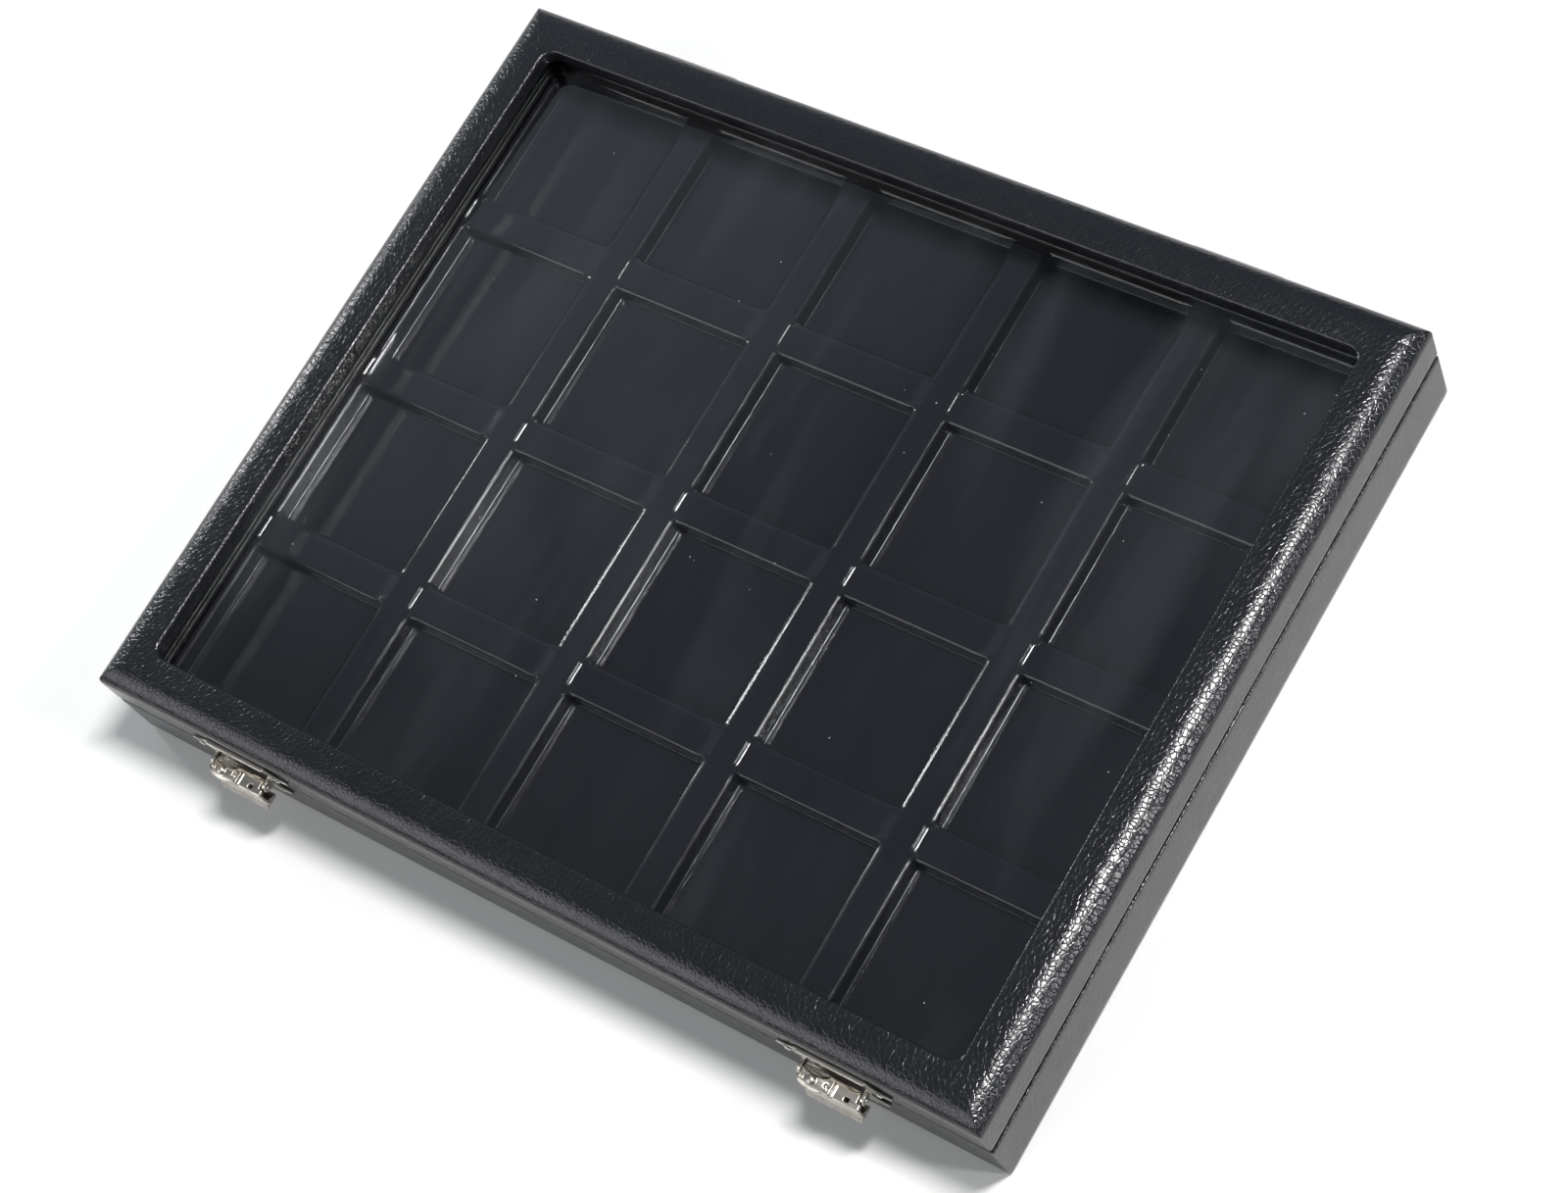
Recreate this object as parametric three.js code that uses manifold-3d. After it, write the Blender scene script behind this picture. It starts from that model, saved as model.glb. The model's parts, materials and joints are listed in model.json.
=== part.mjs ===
// Glazed coin display case: a shallow leatherette-covered base with a divided tray, and a hinged lid
// with a clear pane, held shut by two small snap clasps. Millimetres, +Z up. X runs along the long
// sides and the clasps are on the -Y side. The origin is the middle of the underside.
import * as THREE from 'three';
import { mergeVertices } from 'three/addons/utils/BufferGeometryUtils.js';
import Module from 'manifold-3d';

// ---- driving dimensions ----
const COLUMNS = 5;
const ROWS = 4;
const OPENING = 50.5; // side of one square compartment
const DIVIDER = 7.5; // width of every divider
const TRAY_EDGE = 3.4; // width of the strip round the tray
const WALL = 6.5; // covered board, base and lid
const SLIP = 0.35; // gap between the tray and the walls
const FELT = 0.6; // felt sheet under the case
const BASE_TOP = 20; // top of the base walls
const PARTING = 0.7; // gap between base and lid
const CASE_HEIGHT = 37;
const RAIL_THICK = 5; // top rail of the lid
const RAIL_WIDTH = 13.6; // outer edge to window edge
const EDGE_RADIUS = 4.3; // rounded outer top edge of the lid
const CORNER_RADIUS = 1.2; // upright corners of the case
const WINDOW_RADIUS = 4;
const MITRE_GAP = 0.05; // between the mitred ends of a ring's four pieces
const OVERSHOOT = 1; // how far cutting shapes reach past what they cut
const GLUE_GAP = 0.05; // between pieces that are glued face to face

// ---- worked out from them ----
const PITCH = OPENING + DIVIDER;
const CASE_X = COLUMNS * PITCH - DIVIDER + 2 * (TRAY_EDGE + SLIP + WALL);
const CASE_Y = ROWS * PITCH - DIVIDER + 2 * (TRAY_EDGE + SLIP + WALL);
const HALF_X = CASE_X / 2;
const HALF_Y = CASE_Y / 2;
const LID_BOTTOM = BASE_TOP + PARTING;
const RAIL_BOTTOM = CASE_HEIGHT - RAIL_THICK;
const INNER_X = HALF_X - WALL;
const INNER_Y = HALF_Y - WALL;
const TRAY_X = INNER_X - SLIP;
const TRAY_Y = INNER_Y - SLIP;
const GRID_X = TRAY_X - TRAY_EDGE;
const GRID_Y = TRAY_Y - TRAY_EDGE;

// ---- tray and hidden base pieces, as heights above the underside ----
const PANEL_THICK = 2.4;
const TRAY_FLOOR_TOP = 16;
const TRAY_FLOOR_THICK = 1.2;
const LONG_TOP = 21; // dividers that run front to back
const CROSS_TOP = 20.4; // dividers that run side to side
const CROSS_WEB_TOP = 18.2; // where a long divider crosses over
const DIVIDER_ROUND = 0.8;

// ---- glazing ----
const PANE_THICK = 2.2;
const STRIP_WIDTH = 5;
const STRIP_HEIGHT = 6;

// ---- hinges ----
const HINGE_X = 92; // distance of each hinge from the middle
const HINGE_WIDTH = 28;
const HINGE_LEAF = 11; // height of one leaf
const HINGE_SHEET = 0.9;
const HINGE_BARREL = 1.8; // outer radius
const HINGE_PIN = 0.9;
const PIN_CLEARANCE = 0.08;
const HINGE_Y = HALF_Y + 2;
const HINGE_Z = BASE_TOP + PARTING / 2;
const KNUCKLES = 5;
const KNUCKLE_GAP = 0.3;
const KNUCKLE_ROOT = 0.5; // how far a knuckle's web runs into its leaf
const PIN_PROUD = 0.4; // pin past the outer knuckles
const HINGE_SCREW_X = 9;
const HINGE_SCREW_DROP = 7; // from the axis to the screw

// ---- clasps ----
const CLASP_X = { left: -99.7, right: 105.3 };
const PLATE_SHEET = 0.8;
const LID_PLATE = { half: 18, low: 22.4, high: 30.4 };
const STRIKE_PLATE = { half: 14, low: 11.4, high: 19.4 };
const SHOULDER_SHARE = 0.62; // of a plate's half width, where its pointed ends begin
const WAIST_SHARE = 0.76; // where the curve to the point bends most
const PLATE_TIP = 0.5; // half height of a plate's blunt point
const BEAD_LOW = 17.2;
const BEAD_HIGH = 19.2;
const BEAD_OUT = 2.7; // how far the strike's bead stands out from the case
const BEAD_ROUND = 0.8;
const BEAD_SHORT = 2; // bead end short of the tongue's side
const TONGUE_HALF = 10.5;
const TONGUE_SHEET = 0.8;
const CLASP_AXIS_OUT = 3.2;
const CLASP_AXIS_Z = 22.6;
const CLASP_BARREL = 1.6;
const CLASP_PIN = 0.6;
const TONGUE_KNUCKLE = 5.8; // half length of the tongue's own knuckle
const TONGUE_FRONT = 7; // front of the tongue from the case
const TONGUE_LOW = 15.2;
const LIP_OUT = 8; // finger edge
const LIP_IN = 3.05; // catch under the strike's bead
const LIP_FLARE = 1.6; // height over which the front runs out to the finger edge
const LIP_EDGE = 0.5; // thickness of the finger edge
const CATCH_CHAMFER = 0.6;
const CATCH_HEIGHT = 1.2;
const NAIL_X = 14.2;

// ---- fasteners ----
const SCREW = { head: 1.6, rise: 0.7, shank: 0.8, length: 5, bore: 0.95 }; // head and shank as radii
const NAIL = { head: 1.2, rise: 0.55, shank: 0.5, length: 4, bore: 0.62 };
const BORE_DEEPER = 0.4; // bore past the shank's end
const HEAD_STEPS = 5; // facets up a domed head
const ROUND_SIDES = 24;
const ARC_SEGMENTS = 8;

const wasm = await Module();
wasm.setup();

// ---- geometry helpers ----
function solidOf(geometry) {
  const bare = geometry.clone();
  bare.deleteAttribute('normal');
  bare.deleteAttribute('uv');
  const merged = mergeVertices(bare, 1e-4);
  return new wasm.Manifold(new wasm.Mesh({
    numProp: 3,
    vertProperties: new Float32Array(merged.attributes.position.array),
    triVerts: new Uint32Array(merged.index.array),
  }));
}

function geometryOf(solid) {
  const mesh = solid.getMesh();
  const geometry = new THREE.BufferGeometry();
  geometry.setAttribute('position', new THREE.BufferAttribute(mesh.vertProperties, 3));
  geometry.setIndex(new THREE.BufferAttribute(mesh.triVerts, 1));
  geometry.computeVertexNormals();
  return geometry;
}

function cut(solid, tools) {
  return tools.reduce((left, tool) => left.subtract(tool), solid);
}

function join(solids) {
  return solids.reduce((sum, solid) => sum.add(solid));
}

function boxBetween(x0, x1, y0, y1, z0, z1) {
  const geometry = new THREE.BoxGeometry(x1 - x0, y1 - y0, z1 - z0);
  geometry.translate((x0 + x1) / 2, (y0 + y1) / 2, (z0 + z1) / 2);
  return solidOf(geometry);
}

function extruded(shape, depth) {
  return new THREE.ExtrudeGeometry(shape, { depth, bevelEnabled: false, curveSegments: ARC_SEGMENTS });
}

// Extrudes a shape drawn in (x, y) upwards.
function extrudeZ(shape, z0, z1) {
  const geometry = extruded(shape, z1 - z0);
  geometry.translate(0, 0, z0);
  return solidOf(geometry);
}

// Extrudes a shape drawn in (y, z) along X.
function extrudeX(shape, x0, x1) {
  const geometry = extruded(shape, x1 - x0);
  const turn = new THREE.Matrix4().makeBasis(
    new THREE.Vector3(0, 1, 0),
    new THREE.Vector3(0, 0, 1),
    new THREE.Vector3(1, 0, 0),
  );
  geometry.applyMatrix4(turn);
  geometry.translate(x0, 0, 0);
  return solidOf(geometry);
}

// Extrudes a shape drawn in (x, z) along Y.
function extrudeY(shape, y0, y1) {
  const geometry = extruded(shape, y1 - y0);
  const turn = new THREE.Matrix4().makeBasis(
    new THREE.Vector3(1, 0, 0),
    new THREE.Vector3(0, 0, 1),
    new THREE.Vector3(0, -1, 0),
  );
  geometry.applyMatrix4(turn);
  geometry.translate(0, y1, 0);
  return solidOf(geometry);
}

function cylinderX(radius, x0, x1, y, z) {
  const geometry = new THREE.CylinderGeometry(radius, radius, x1 - x0, ROUND_SIDES);
  geometry.rotateZ(Math.PI / 2);
  geometry.translate((x0 + x1) / 2, y, z);
  return solidOf(geometry);
}

function cylinderY(radius, x, y0, y1, z) {
  const geometry = new THREE.CylinderGeometry(radius, radius, y1 - y0, ROUND_SIDES);
  geometry.translate(x, (y0 + y1) / 2, z);
  return solidOf(geometry);
}

function polygon(points) {
  return new THREE.Shape(points.map(([x, y]) => new THREE.Vector2(x, y)));
}

function roundedRectangle(halfX, halfY, radius) {
  const shape = new THREE.Shape();
  shape.moveTo(-halfX + radius, -halfY);
  shape.lineTo(halfX - radius, -halfY);
  shape.absarc(halfX - radius, -halfY + radius, radius, -Math.PI / 2, 0);
  shape.lineTo(halfX, halfY - radius);
  shape.absarc(halfX - radius, halfY - radius, radius, 0, Math.PI / 2);
  shape.lineTo(-halfX + radius, halfY);
  shape.absarc(-halfX + radius, halfY - radius, radius, Math.PI / 2, Math.PI);
  shape.lineTo(-halfX, -halfY + radius);
  shape.absarc(-halfX + radius, -halfY + radius, radius, Math.PI, Math.PI * 1.5);
  return shape;
}

// A section with square feet and two rounded top corners.
function roundTopSection(half, low, high, radius) {
  const shape = new THREE.Shape();
  shape.moveTo(-half, low);
  shape.lineTo(half, low);
  shape.lineTo(half, high - radius);
  shape.absarc(half - radius, high - radius, radius, 0, Math.PI / 2);
  shape.lineTo(-half + radius, high);
  shape.absarc(-half + radius, high - radius, radius, Math.PI / 2, Math.PI);
  return shape;
}

// ---- the exported group ----
const group = new THREE.Group();
const FINISHES = {
  leatherette: { color: 0x1a1d22, roughness: 0.45, metalness: 0 },
  felt: { color: 0x101113, roughness: 0.95, metalness: 0 },
  board: { color: 0x5a4a38, roughness: 0.9, metalness: 0 },
  foam: { color: 0x2a2a2c, roughness: 0.95, metalness: 0 },
  tray: { color: 0x15161a, roughness: 0.35, metalness: 0 },
  pane: { color: 0xdfe8ea, roughness: 0.03, metalness: 0 },
  nickel: { color: 0xb9b7b0, roughness: 0.25, metalness: 1 },
  steel: { color: 0x9a9a98, roughness: 0.35, metalness: 1 },
};

function add(name, solid, finish) {
  const mesh = new THREE.Mesh(geometryOf(solid), new THREE.MeshStandardMaterial(FINISHES[finish]));
  mesh.name = name;
  group.add(mesh);
}

// ---- a ring of four mitred pieces ----
const MITRE_DEPTH = RAIL_WIDTH + WINDOW_RADIUS + 3; // clear of the window's rounded corner
const WEDGE_REACH = 5; // past the outside of the case

// The plan outline of one side of the case, cut off at 45 degrees at both ends.
function mitreWedge(side) {
  const alongX = side === 'front' || side === 'back';
  const halfLong = alongX ? HALF_X : HALF_Y;
  const halfWide = alongX ? HALF_Y : HALF_X;
  const inset = MITRE_GAP / 2;
  const outer = halfLong + WEDGE_REACH - inset;
  const inner = halfLong - MITRE_DEPTH - inset;
  const points = [
    [-outer, -halfWide - WEDGE_REACH],
    [outer, -halfWide - WEDGE_REACH],
    [inner, -halfWide + MITRE_DEPTH],
    [-inner, -halfWide + MITRE_DEPTH],
  ];
  const turn = { front: 0, right: Math.PI / 2, back: Math.PI, left: -Math.PI / 2 }[side];
  const turned = points.map(([x, y]) => [
    x * Math.cos(turn) - y * Math.sin(turn),
    x * Math.sin(turn) + y * Math.cos(turn),
  ]);
  return extrudeZ(polygon(turned), -OVERSHOOT, CASE_HEIGHT + OVERSHOOT);
}

const SIDES = ['front', 'back', 'left', 'right'];

function addRing(prefix, ring, finish, cutsBySide = {}) {
  for (const side of SIDES) {
    const piece = ring.intersect(mitreWedge(side));
    add(`${prefix}_${side}`, cut(piece, cutsBySide[side] ?? []), finish);
  }
}

const caseColumn = extrudeZ(
  roundedRectangle(HALF_X, HALF_Y, CORNER_RADIUS), -OVERSHOOT, CASE_HEIGHT + OVERSHOOT,
);
const insideColumn = boxBetween(
  -INNER_X, INNER_X, -INNER_Y, INNER_Y, -2 * OVERSHOOT, CASE_HEIGHT + 2 * OVERSHOOT,
);

function wallRing(z0, z1) {
  const slab = boxBetween(
    -HALF_X - OVERSHOOT, HALF_X + OVERSHOOT, -HALF_Y - OVERSHOOT, HALF_Y + OVERSHOOT, z0, z1,
  );
  return slab.intersect(caseColumn).subtract(insideColumn);
}

// ---- fasteners, driven in from the front (-Y) or the back (+Y) face ----
function faceY(side) {
  return side === 'front' ? -1 : 1;
}

function boreFor(kind, side, x, z) {
  const out = faceY(side);
  const face = out * HALF_Y;
  const inner = face - out * (kind.length + BORE_DEEPER);
  const outer = face + out * OVERSHOOT;
  return cylinderY(kind.bore, x, Math.min(inner, outer), Math.max(inner, outer), z);
}

// A low domed head on a plain shank.
function fastener(kind, side, x, z, sheet) {
  const profile = [new THREE.Vector2(0, -kind.length)];
  profile.push(new THREE.Vector2(kind.shank, -kind.length));
  profile.push(new THREE.Vector2(kind.shank, sheet));
  for (let i = 0; i <= HEAD_STEPS; i += 1) {
    const angle = (Math.PI / 2) * (i / HEAD_STEPS);
    profile.push(new THREE.Vector2(kind.head * Math.cos(angle), sheet + kind.rise * Math.sin(angle)));
  }
  profile[profile.length - 1].x = 0;
  const geometry = new THREE.LatheGeometry(profile, ROUND_SIDES);
  if (side === 'front') {
    geometry.rotateX(Math.PI);
  }
  geometry.translate(x, faceY(side) * HALF_Y, z);
  return solidOf(geometry);
}

// ---- base ----
const hingeScrews = [];
for (const [end, sign] of [['left', -1], ['right', 1]]) {
  for (const [place, along] of [['outer', sign], ['inner', -sign]]) {
    const x = sign * HINGE_X + along * HINGE_SCREW_X;
    hingeScrews.push({ name: `${end}_${place}`, x });
  }
}
const BASE_SCREW_Z = HINGE_Z - HINGE_SCREW_DROP;
const LID_SCREW_Z = HINGE_Z + HINGE_SCREW_DROP;
const STRIKE_RIVET_Z = (STRIKE_PLATE.low + BEAD_LOW) / 2;
const LID_NAIL_Z = (LID_PLATE.low + LID_PLATE.high) / 2;

addRing('base_wall', wallRing(FELT, BASE_TOP), 'leatherette', {
  back: hingeScrews.map(({ x }) => boreFor(SCREW, 'back', x, BASE_SCREW_Z)),
  front: Object.values(CLASP_X).map((x) => boreFor(NAIL, 'front', x, STRIKE_RIVET_Z)),
});

const FELT_INSET = 3;
const felt = extrudeZ(roundedRectangle(HALF_X - FELT_INSET, HALF_Y - FELT_INSET, CORNER_RADIUS), 0, FELT);
add('base_felt', felt, 'felt');

const panelX = INNER_X - GLUE_GAP;
const panelY = INNER_Y - GLUE_GAP;
add('bottom_panel', boxBetween(-panelX, panelX, -panelY, panelY, FELT, FELT + PANEL_THICK), 'board');

const PAD_TOP = TRAY_FLOOR_TOP - TRAY_FLOOR_THICK;
add('foam_pad', boxBetween(-TRAY_X, TRAY_X, -TRAY_Y, TRAY_Y, FELT + PANEL_THICK, PAD_TOP), 'foam');

// ---- tray ----
add('tray_floor', boxBetween(-TRAY_X, TRAY_X, -TRAY_Y, TRAY_Y, PAD_TOP, TRAY_FLOOR_TOP), 'tray');

const EDGE_END = GRID_Y - GLUE_GAP;
const edgeBoxes = {
  front: [-TRAY_X, TRAY_X, -TRAY_Y, -GRID_Y],
  back: [-TRAY_X, TRAY_X, GRID_Y, TRAY_Y],
  left: [-TRAY_X, -GRID_X, -EDGE_END, EDGE_END],
  right: [GRID_X, TRAY_X, -EDGE_END, EDGE_END],
};
for (const side of SIDES) {
  const [x0, x1, y0, y1] = edgeBoxes[side];
  add(`tray_edge_${side}`, boxBetween(x0, x1, y0, y1, TRAY_FLOOR_TOP, LONG_TOP), 'tray');
}

const longCentres = [];
for (let i = 1; i < COLUMNS; i += 1) {
  longCentres.push((i - COLUMNS / 2) * PITCH);
}
const crossCentres = [];
for (let i = 1; i < ROWS; i += 1) {
  crossCentres.push((i - ROWS / 2) * PITCH);
}
const HALF_DIVIDER = DIVIDER / 2;
const HALVING = HALF_DIVIDER + GLUE_GAP;

// Long dividers are halved from below and lie over the cross dividers, which are halved from above.
longCentres.forEach((x, i) => {
  const section = roundTopSection(HALF_DIVIDER, TRAY_FLOOR_TOP, LONG_TOP, DIVIDER_ROUND);
  const strip = extrudeY(section, -EDGE_END, EDGE_END);
  const placed = strip.translate([x, 0, 0]);
  const slots = crossCentres.map((y) => boxBetween(
    x - DIVIDER, x + DIVIDER, y - HALVING, y + HALVING, TRAY_FLOOR_TOP - OVERSHOOT, CROSS_WEB_TOP + GLUE_GAP,
  ));
  add(`long_divider_${i + 1}`, cut(placed, slots), 'tray');
});
crossCentres.forEach((y, i) => {
  const section = roundTopSection(HALF_DIVIDER, TRAY_FLOOR_TOP, CROSS_TOP, DIVIDER_ROUND);
  const end = GRID_X - GLUE_GAP;
  const strip = extrudeX(section, -end, end).translate([0, y, 0]);
  const slots = longCentres.map((x) => boxBetween(
    x - HALVING, x + HALVING, y - DIVIDER, y + DIVIDER, CROSS_WEB_TOP, LONG_TOP + OVERSHOOT,
  ));
  add(`cross_divider_${i + 1}`, cut(strip, slots), 'tray');
});

// ---- lid ----
addRing('lid_wall', wallRing(LID_BOTTOM, RAIL_BOTTOM), 'leatherette', {
  back: hingeScrews.map(({ x }) => boreFor(SCREW, 'back', x, LID_SCREW_Z)),
  front: Object.values(CLASP_X).flatMap((x) => [-1, 1].map(
    (end) => boreFor(NAIL, 'front', x + end * NAIL_X, LID_NAIL_Z),
  )),
});

const acrossLid = extrudeX(
  roundTopSection(HALF_Y, RAIL_BOTTOM, CASE_HEIGHT, EDGE_RADIUS), -HALF_X, HALF_X,
);
const alongLid = extrudeY(
  roundTopSection(HALF_X, RAIL_BOTTOM, CASE_HEIGHT, EDGE_RADIUS), -HALF_Y, HALF_Y,
);
const windowHole = extrudeZ(
  roundedRectangle(HALF_X - RAIL_WIDTH, HALF_Y - RAIL_WIDTH, WINDOW_RADIUS),
  RAIL_BOTTOM - OVERSHOOT,
  CASE_HEIGHT + OVERSHOOT,
);
const topRing = acrossLid.intersect(alongLid).intersect(caseColumn).subtract(windowHole);
addRing('top_rail', topRing, 'leatherette');

const paneX = INNER_X - SLIP;
const paneY = INNER_Y - SLIP;
const PANE_TOP = RAIL_BOTTOM - GLUE_GAP;
const PANE_BOTTOM = PANE_TOP - PANE_THICK;
add('window_pane', boxBetween(-paneX, paneX, -paneY, paneY, PANE_BOTTOM, PANE_TOP), 'pane');

const STRIP_TOP = PANE_BOTTOM - GLUE_GAP;
const STRIP_BOTTOM = STRIP_TOP - STRIP_HEIGHT;
const stripX = INNER_X - GLUE_GAP;
const stripY = INNER_Y - GLUE_GAP;
const stripBoxes = {
  front: [-stripX, stripX, -stripY, -stripY + STRIP_WIDTH],
  back: [-stripX, stripX, stripY - STRIP_WIDTH, stripY],
  left: [-stripX, -stripX + STRIP_WIDTH, -stripY + STRIP_WIDTH + GLUE_GAP, stripY - STRIP_WIDTH - GLUE_GAP],
  right: [stripX - STRIP_WIDTH, stripX, -stripY + STRIP_WIDTH + GLUE_GAP, stripY - STRIP_WIDTH - GLUE_GAP],
};
for (const side of SIDES) {
  const [x0, x1, y0, y1] = stripBoxes[side];
  add(`glazing_strip_${side}`, boxBetween(x0, x1, y0, y1, STRIP_BOTTOM, STRIP_TOP), 'tray');
}

// ---- back hinges ----
const SHEET_IN = HALF_Y + GLUE_GAP;
const SHEET_OUT = SHEET_IN + HINGE_SHEET;
const KNUCKLE = HINGE_WIDTH / KNUCKLES;

// One leaf: a plate on the back face, and every second knuckle. The base leaf takes the odd ones.
function hingeLeaf(x, upward, firstKnuckle) {
  const clear = HINGE_BARREL + KNUCKLE_GAP;
  const near = HINGE_Z + upward * clear;
  const far = HINGE_Z + upward * HINGE_LEAF;
  const half = HINGE_WIDTH / 2;
  const parts = [
    boxBetween(x - half, x + half, SHEET_IN, SHEET_OUT, Math.min(near, far), Math.max(near, far)),
  ];
  for (let i = firstKnuckle; i < KNUCKLES; i += 2) {
    const x0 = x - half + i * KNUCKLE + (i > 0 ? KNUCKLE_GAP / 2 : 0);
    const x1 = x - half + (i + 1) * KNUCKLE - (i < KNUCKLES - 1 ? KNUCKLE_GAP / 2 : 0);
    parts.push(cylinderX(HINGE_BARREL, x0, x1, HINGE_Y, HINGE_Z));
    const root = near + upward * KNUCKLE_ROOT;
    parts.push(boxBetween(x0, x1, SHEET_IN, SHEET_OUT, Math.min(HINGE_Z, root), Math.max(HINGE_Z, root)));
  }
  const bore = cylinderX(
    HINGE_PIN + PIN_CLEARANCE, x - half - OVERSHOOT, x + half + OVERSHOOT, HINGE_Y, HINGE_Z,
  );
  const holes = [-1, 1].map((side) => cylinderY(
    SCREW.bore,
    x + side * HINGE_SCREW_X,
    SHEET_IN - OVERSHOOT,
    SHEET_OUT + OVERSHOOT,
    HINGE_Z + upward * HINGE_SCREW_DROP,
  ));
  return cut(join(parts), [bore, ...holes]);
}

for (const [end, sign] of [['left', -1], ['right', 1]]) {
  const x = sign * HINGE_X;
  const half = HINGE_WIDTH / 2 + PIN_PROUD;
  add(`hinge_leaf_base_${end}`, hingeLeaf(x, -1, 0), 'nickel');
  add(`hinge_leaf_lid_${end}`, hingeLeaf(x, 1, 1), 'nickel');
  add(`hinge_pin_${end}`, cylinderX(HINGE_PIN, x - half, x + half, HINGE_Y, HINGE_Z), 'steel');
}
const SCREW_SHEET = HINGE_SHEET + 2 * GLUE_GAP;
for (const { name, x } of hingeScrews) {
  add(`hinge_screw_base_${name}`, fastener(SCREW, 'back', x, BASE_SCREW_Z, SCREW_SHEET), 'steel');
  add(`hinge_screw_lid_${name}`, fastener(SCREW, 'back', x, LID_SCREW_Z, SCREW_SHEET), 'steel');
}

// ---- clasps ----
const PLATE_IN = -HALF_Y - GLUE_GAP;
const PLATE_OUT = PLATE_IN - PLATE_SHEET;
const CLASP_Y = -HALF_Y - CLASP_AXIS_OUT;

// A plate with a wide middle and two ends drawn out to points at mid height.
function pointedPlate(plate) {
  const middle = (plate.low + plate.high) / 2;
  const shoulder = plate.half * SHOULDER_SHARE;
  const waist = plate.half * WAIST_SHARE;
  const shape = new THREE.Shape();
  shape.moveTo(-shoulder, plate.low);
  shape.lineTo(shoulder, plate.low);
  shape.quadraticCurveTo(waist, middle - 2 * PLATE_TIP, plate.half, middle - PLATE_TIP);
  shape.lineTo(plate.half, middle + PLATE_TIP);
  shape.quadraticCurveTo(waist, middle + 2 * PLATE_TIP, shoulder, plate.high);
  shape.lineTo(-shoulder, plate.high);
  shape.quadraticCurveTo(-waist, middle + 2 * PLATE_TIP, -plate.half, middle + PLATE_TIP);
  shape.lineTo(-plate.half, middle - PLATE_TIP);
  shape.quadraticCurveTo(-waist, middle - 2 * PLATE_TIP, -shoulder, plate.low);
  return extrudeY(shape, PLATE_OUT, PLATE_IN);
}

// The bore for the clasp's pin, right through whatever it is cut from.
function claspBore() {
  const half = TONGUE_HALF + OVERSHOOT;
  return cylinderX(CLASP_PIN + PIN_CLEARANCE, -half, half, CLASP_Y, CLASP_AXIS_Z);
}

function lidClaspPlate() {
  const knuckles = [-1, 1].flatMap((sign) => {
    const x0 = Math.min(sign * (TONGUE_KNUCKLE + KNUCKLE_GAP), sign * TONGUE_HALF);
    const x1 = Math.max(sign * (TONGUE_KNUCKLE + KNUCKLE_GAP), sign * TONGUE_HALF);
    return [
      cylinderX(CLASP_BARREL, x0, x1, CLASP_Y, CLASP_AXIS_Z),
      boxBetween(x0, x1, CLASP_Y, PLATE_IN, CLASP_AXIS_Z, CLASP_AXIS_Z + CLASP_BARREL),
    ];
  });
  const nailHoles = [-1, 1].map((sign) => cylinderY(
    NAIL.bore, sign * NAIL_X, PLATE_OUT - OVERSHOOT, PLATE_IN + OVERSHOOT, LID_NAIL_Z,
  ));
  return cut(join([pointedPlate(LID_PLATE), ...knuckles]), [claspBore(), ...nailHoles]);
}

// The tongue: a knuckle, a shelf out from it, a front that hangs down, and a lip that turns in under
// the strike's bead and out for the finger.
function tongue() {
  const shelfTop = CLASP_AXIS_Z + CLASP_BARREL;
  const shelfLow = shelfTop - TONGUE_SHEET;
  const front = -HALF_Y - TONGUE_FRONT;
  const inside = front + TONGUE_SHEET;
  const clearOfKnuckles = CLASP_Y - CLASP_BARREL - KNUCKLE_GAP;
  const lipTop = TONGUE_LOW + LIP_FLARE;
  const section = polygon([
    [inside, lipTop + CATCH_HEIGHT],
    [-HALF_Y - LIP_IN, TONGUE_LOW + CATCH_HEIGHT],
    [-HALF_Y - LIP_IN, TONGUE_LOW + CATCH_CHAMFER],
    [-HALF_Y - LIP_IN - CATCH_CHAMFER, TONGUE_LOW],
    [-HALF_Y - LIP_OUT, TONGUE_LOW],
    [-HALF_Y - LIP_OUT, TONGUE_LOW + LIP_EDGE],
    [front, lipTop],
    [front, shelfTop],
    [inside, shelfTop],
  ]);
  return cut(join([
    cylinderX(CLASP_BARREL, -TONGUE_KNUCKLE, TONGUE_KNUCKLE, CLASP_Y, CLASP_AXIS_Z),
    boxBetween(-TONGUE_KNUCKLE, TONGUE_KNUCKLE, front, CLASP_Y, shelfLow, shelfTop),
    boxBetween(-TONGUE_HALF, TONGUE_HALF, front, clearOfKnuckles, shelfLow, shelfTop),
    extrudeX(section, -TONGUE_HALF, TONGUE_HALF),
  ]), [claspBore()]);
}

// The strike: a pointed plate with a half-round bead across it, above its rivet.
function strikePlate() {
  const beadHalf = TONGUE_HALF - BEAD_SHORT;
  const middle = (BEAD_LOW + BEAD_HIGH) / 2;
  const section = new THREE.Shape();
  const crest = -HALF_Y - BEAD_OUT;
  section.moveTo(PLATE_IN, BEAD_LOW);
  section.lineTo(PLATE_IN, BEAD_HIGH);
  section.lineTo(crest + BEAD_ROUND, BEAD_HIGH);
  section.quadraticCurveTo(crest, BEAD_HIGH, crest, middle);
  section.quadraticCurveTo(crest, BEAD_LOW, crest + BEAD_ROUND, BEAD_LOW);
  const bead = extrudeX(section, -beadHalf, beadHalf);
  const hole = cylinderY(NAIL.bore, 0, PLATE_OUT - OVERSHOOT, PLATE_IN + OVERSHOOT, STRIKE_RIVET_Z);
  return cut(join([pointedPlate(STRIKE_PLATE), bead]), [hole]);
}

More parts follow.
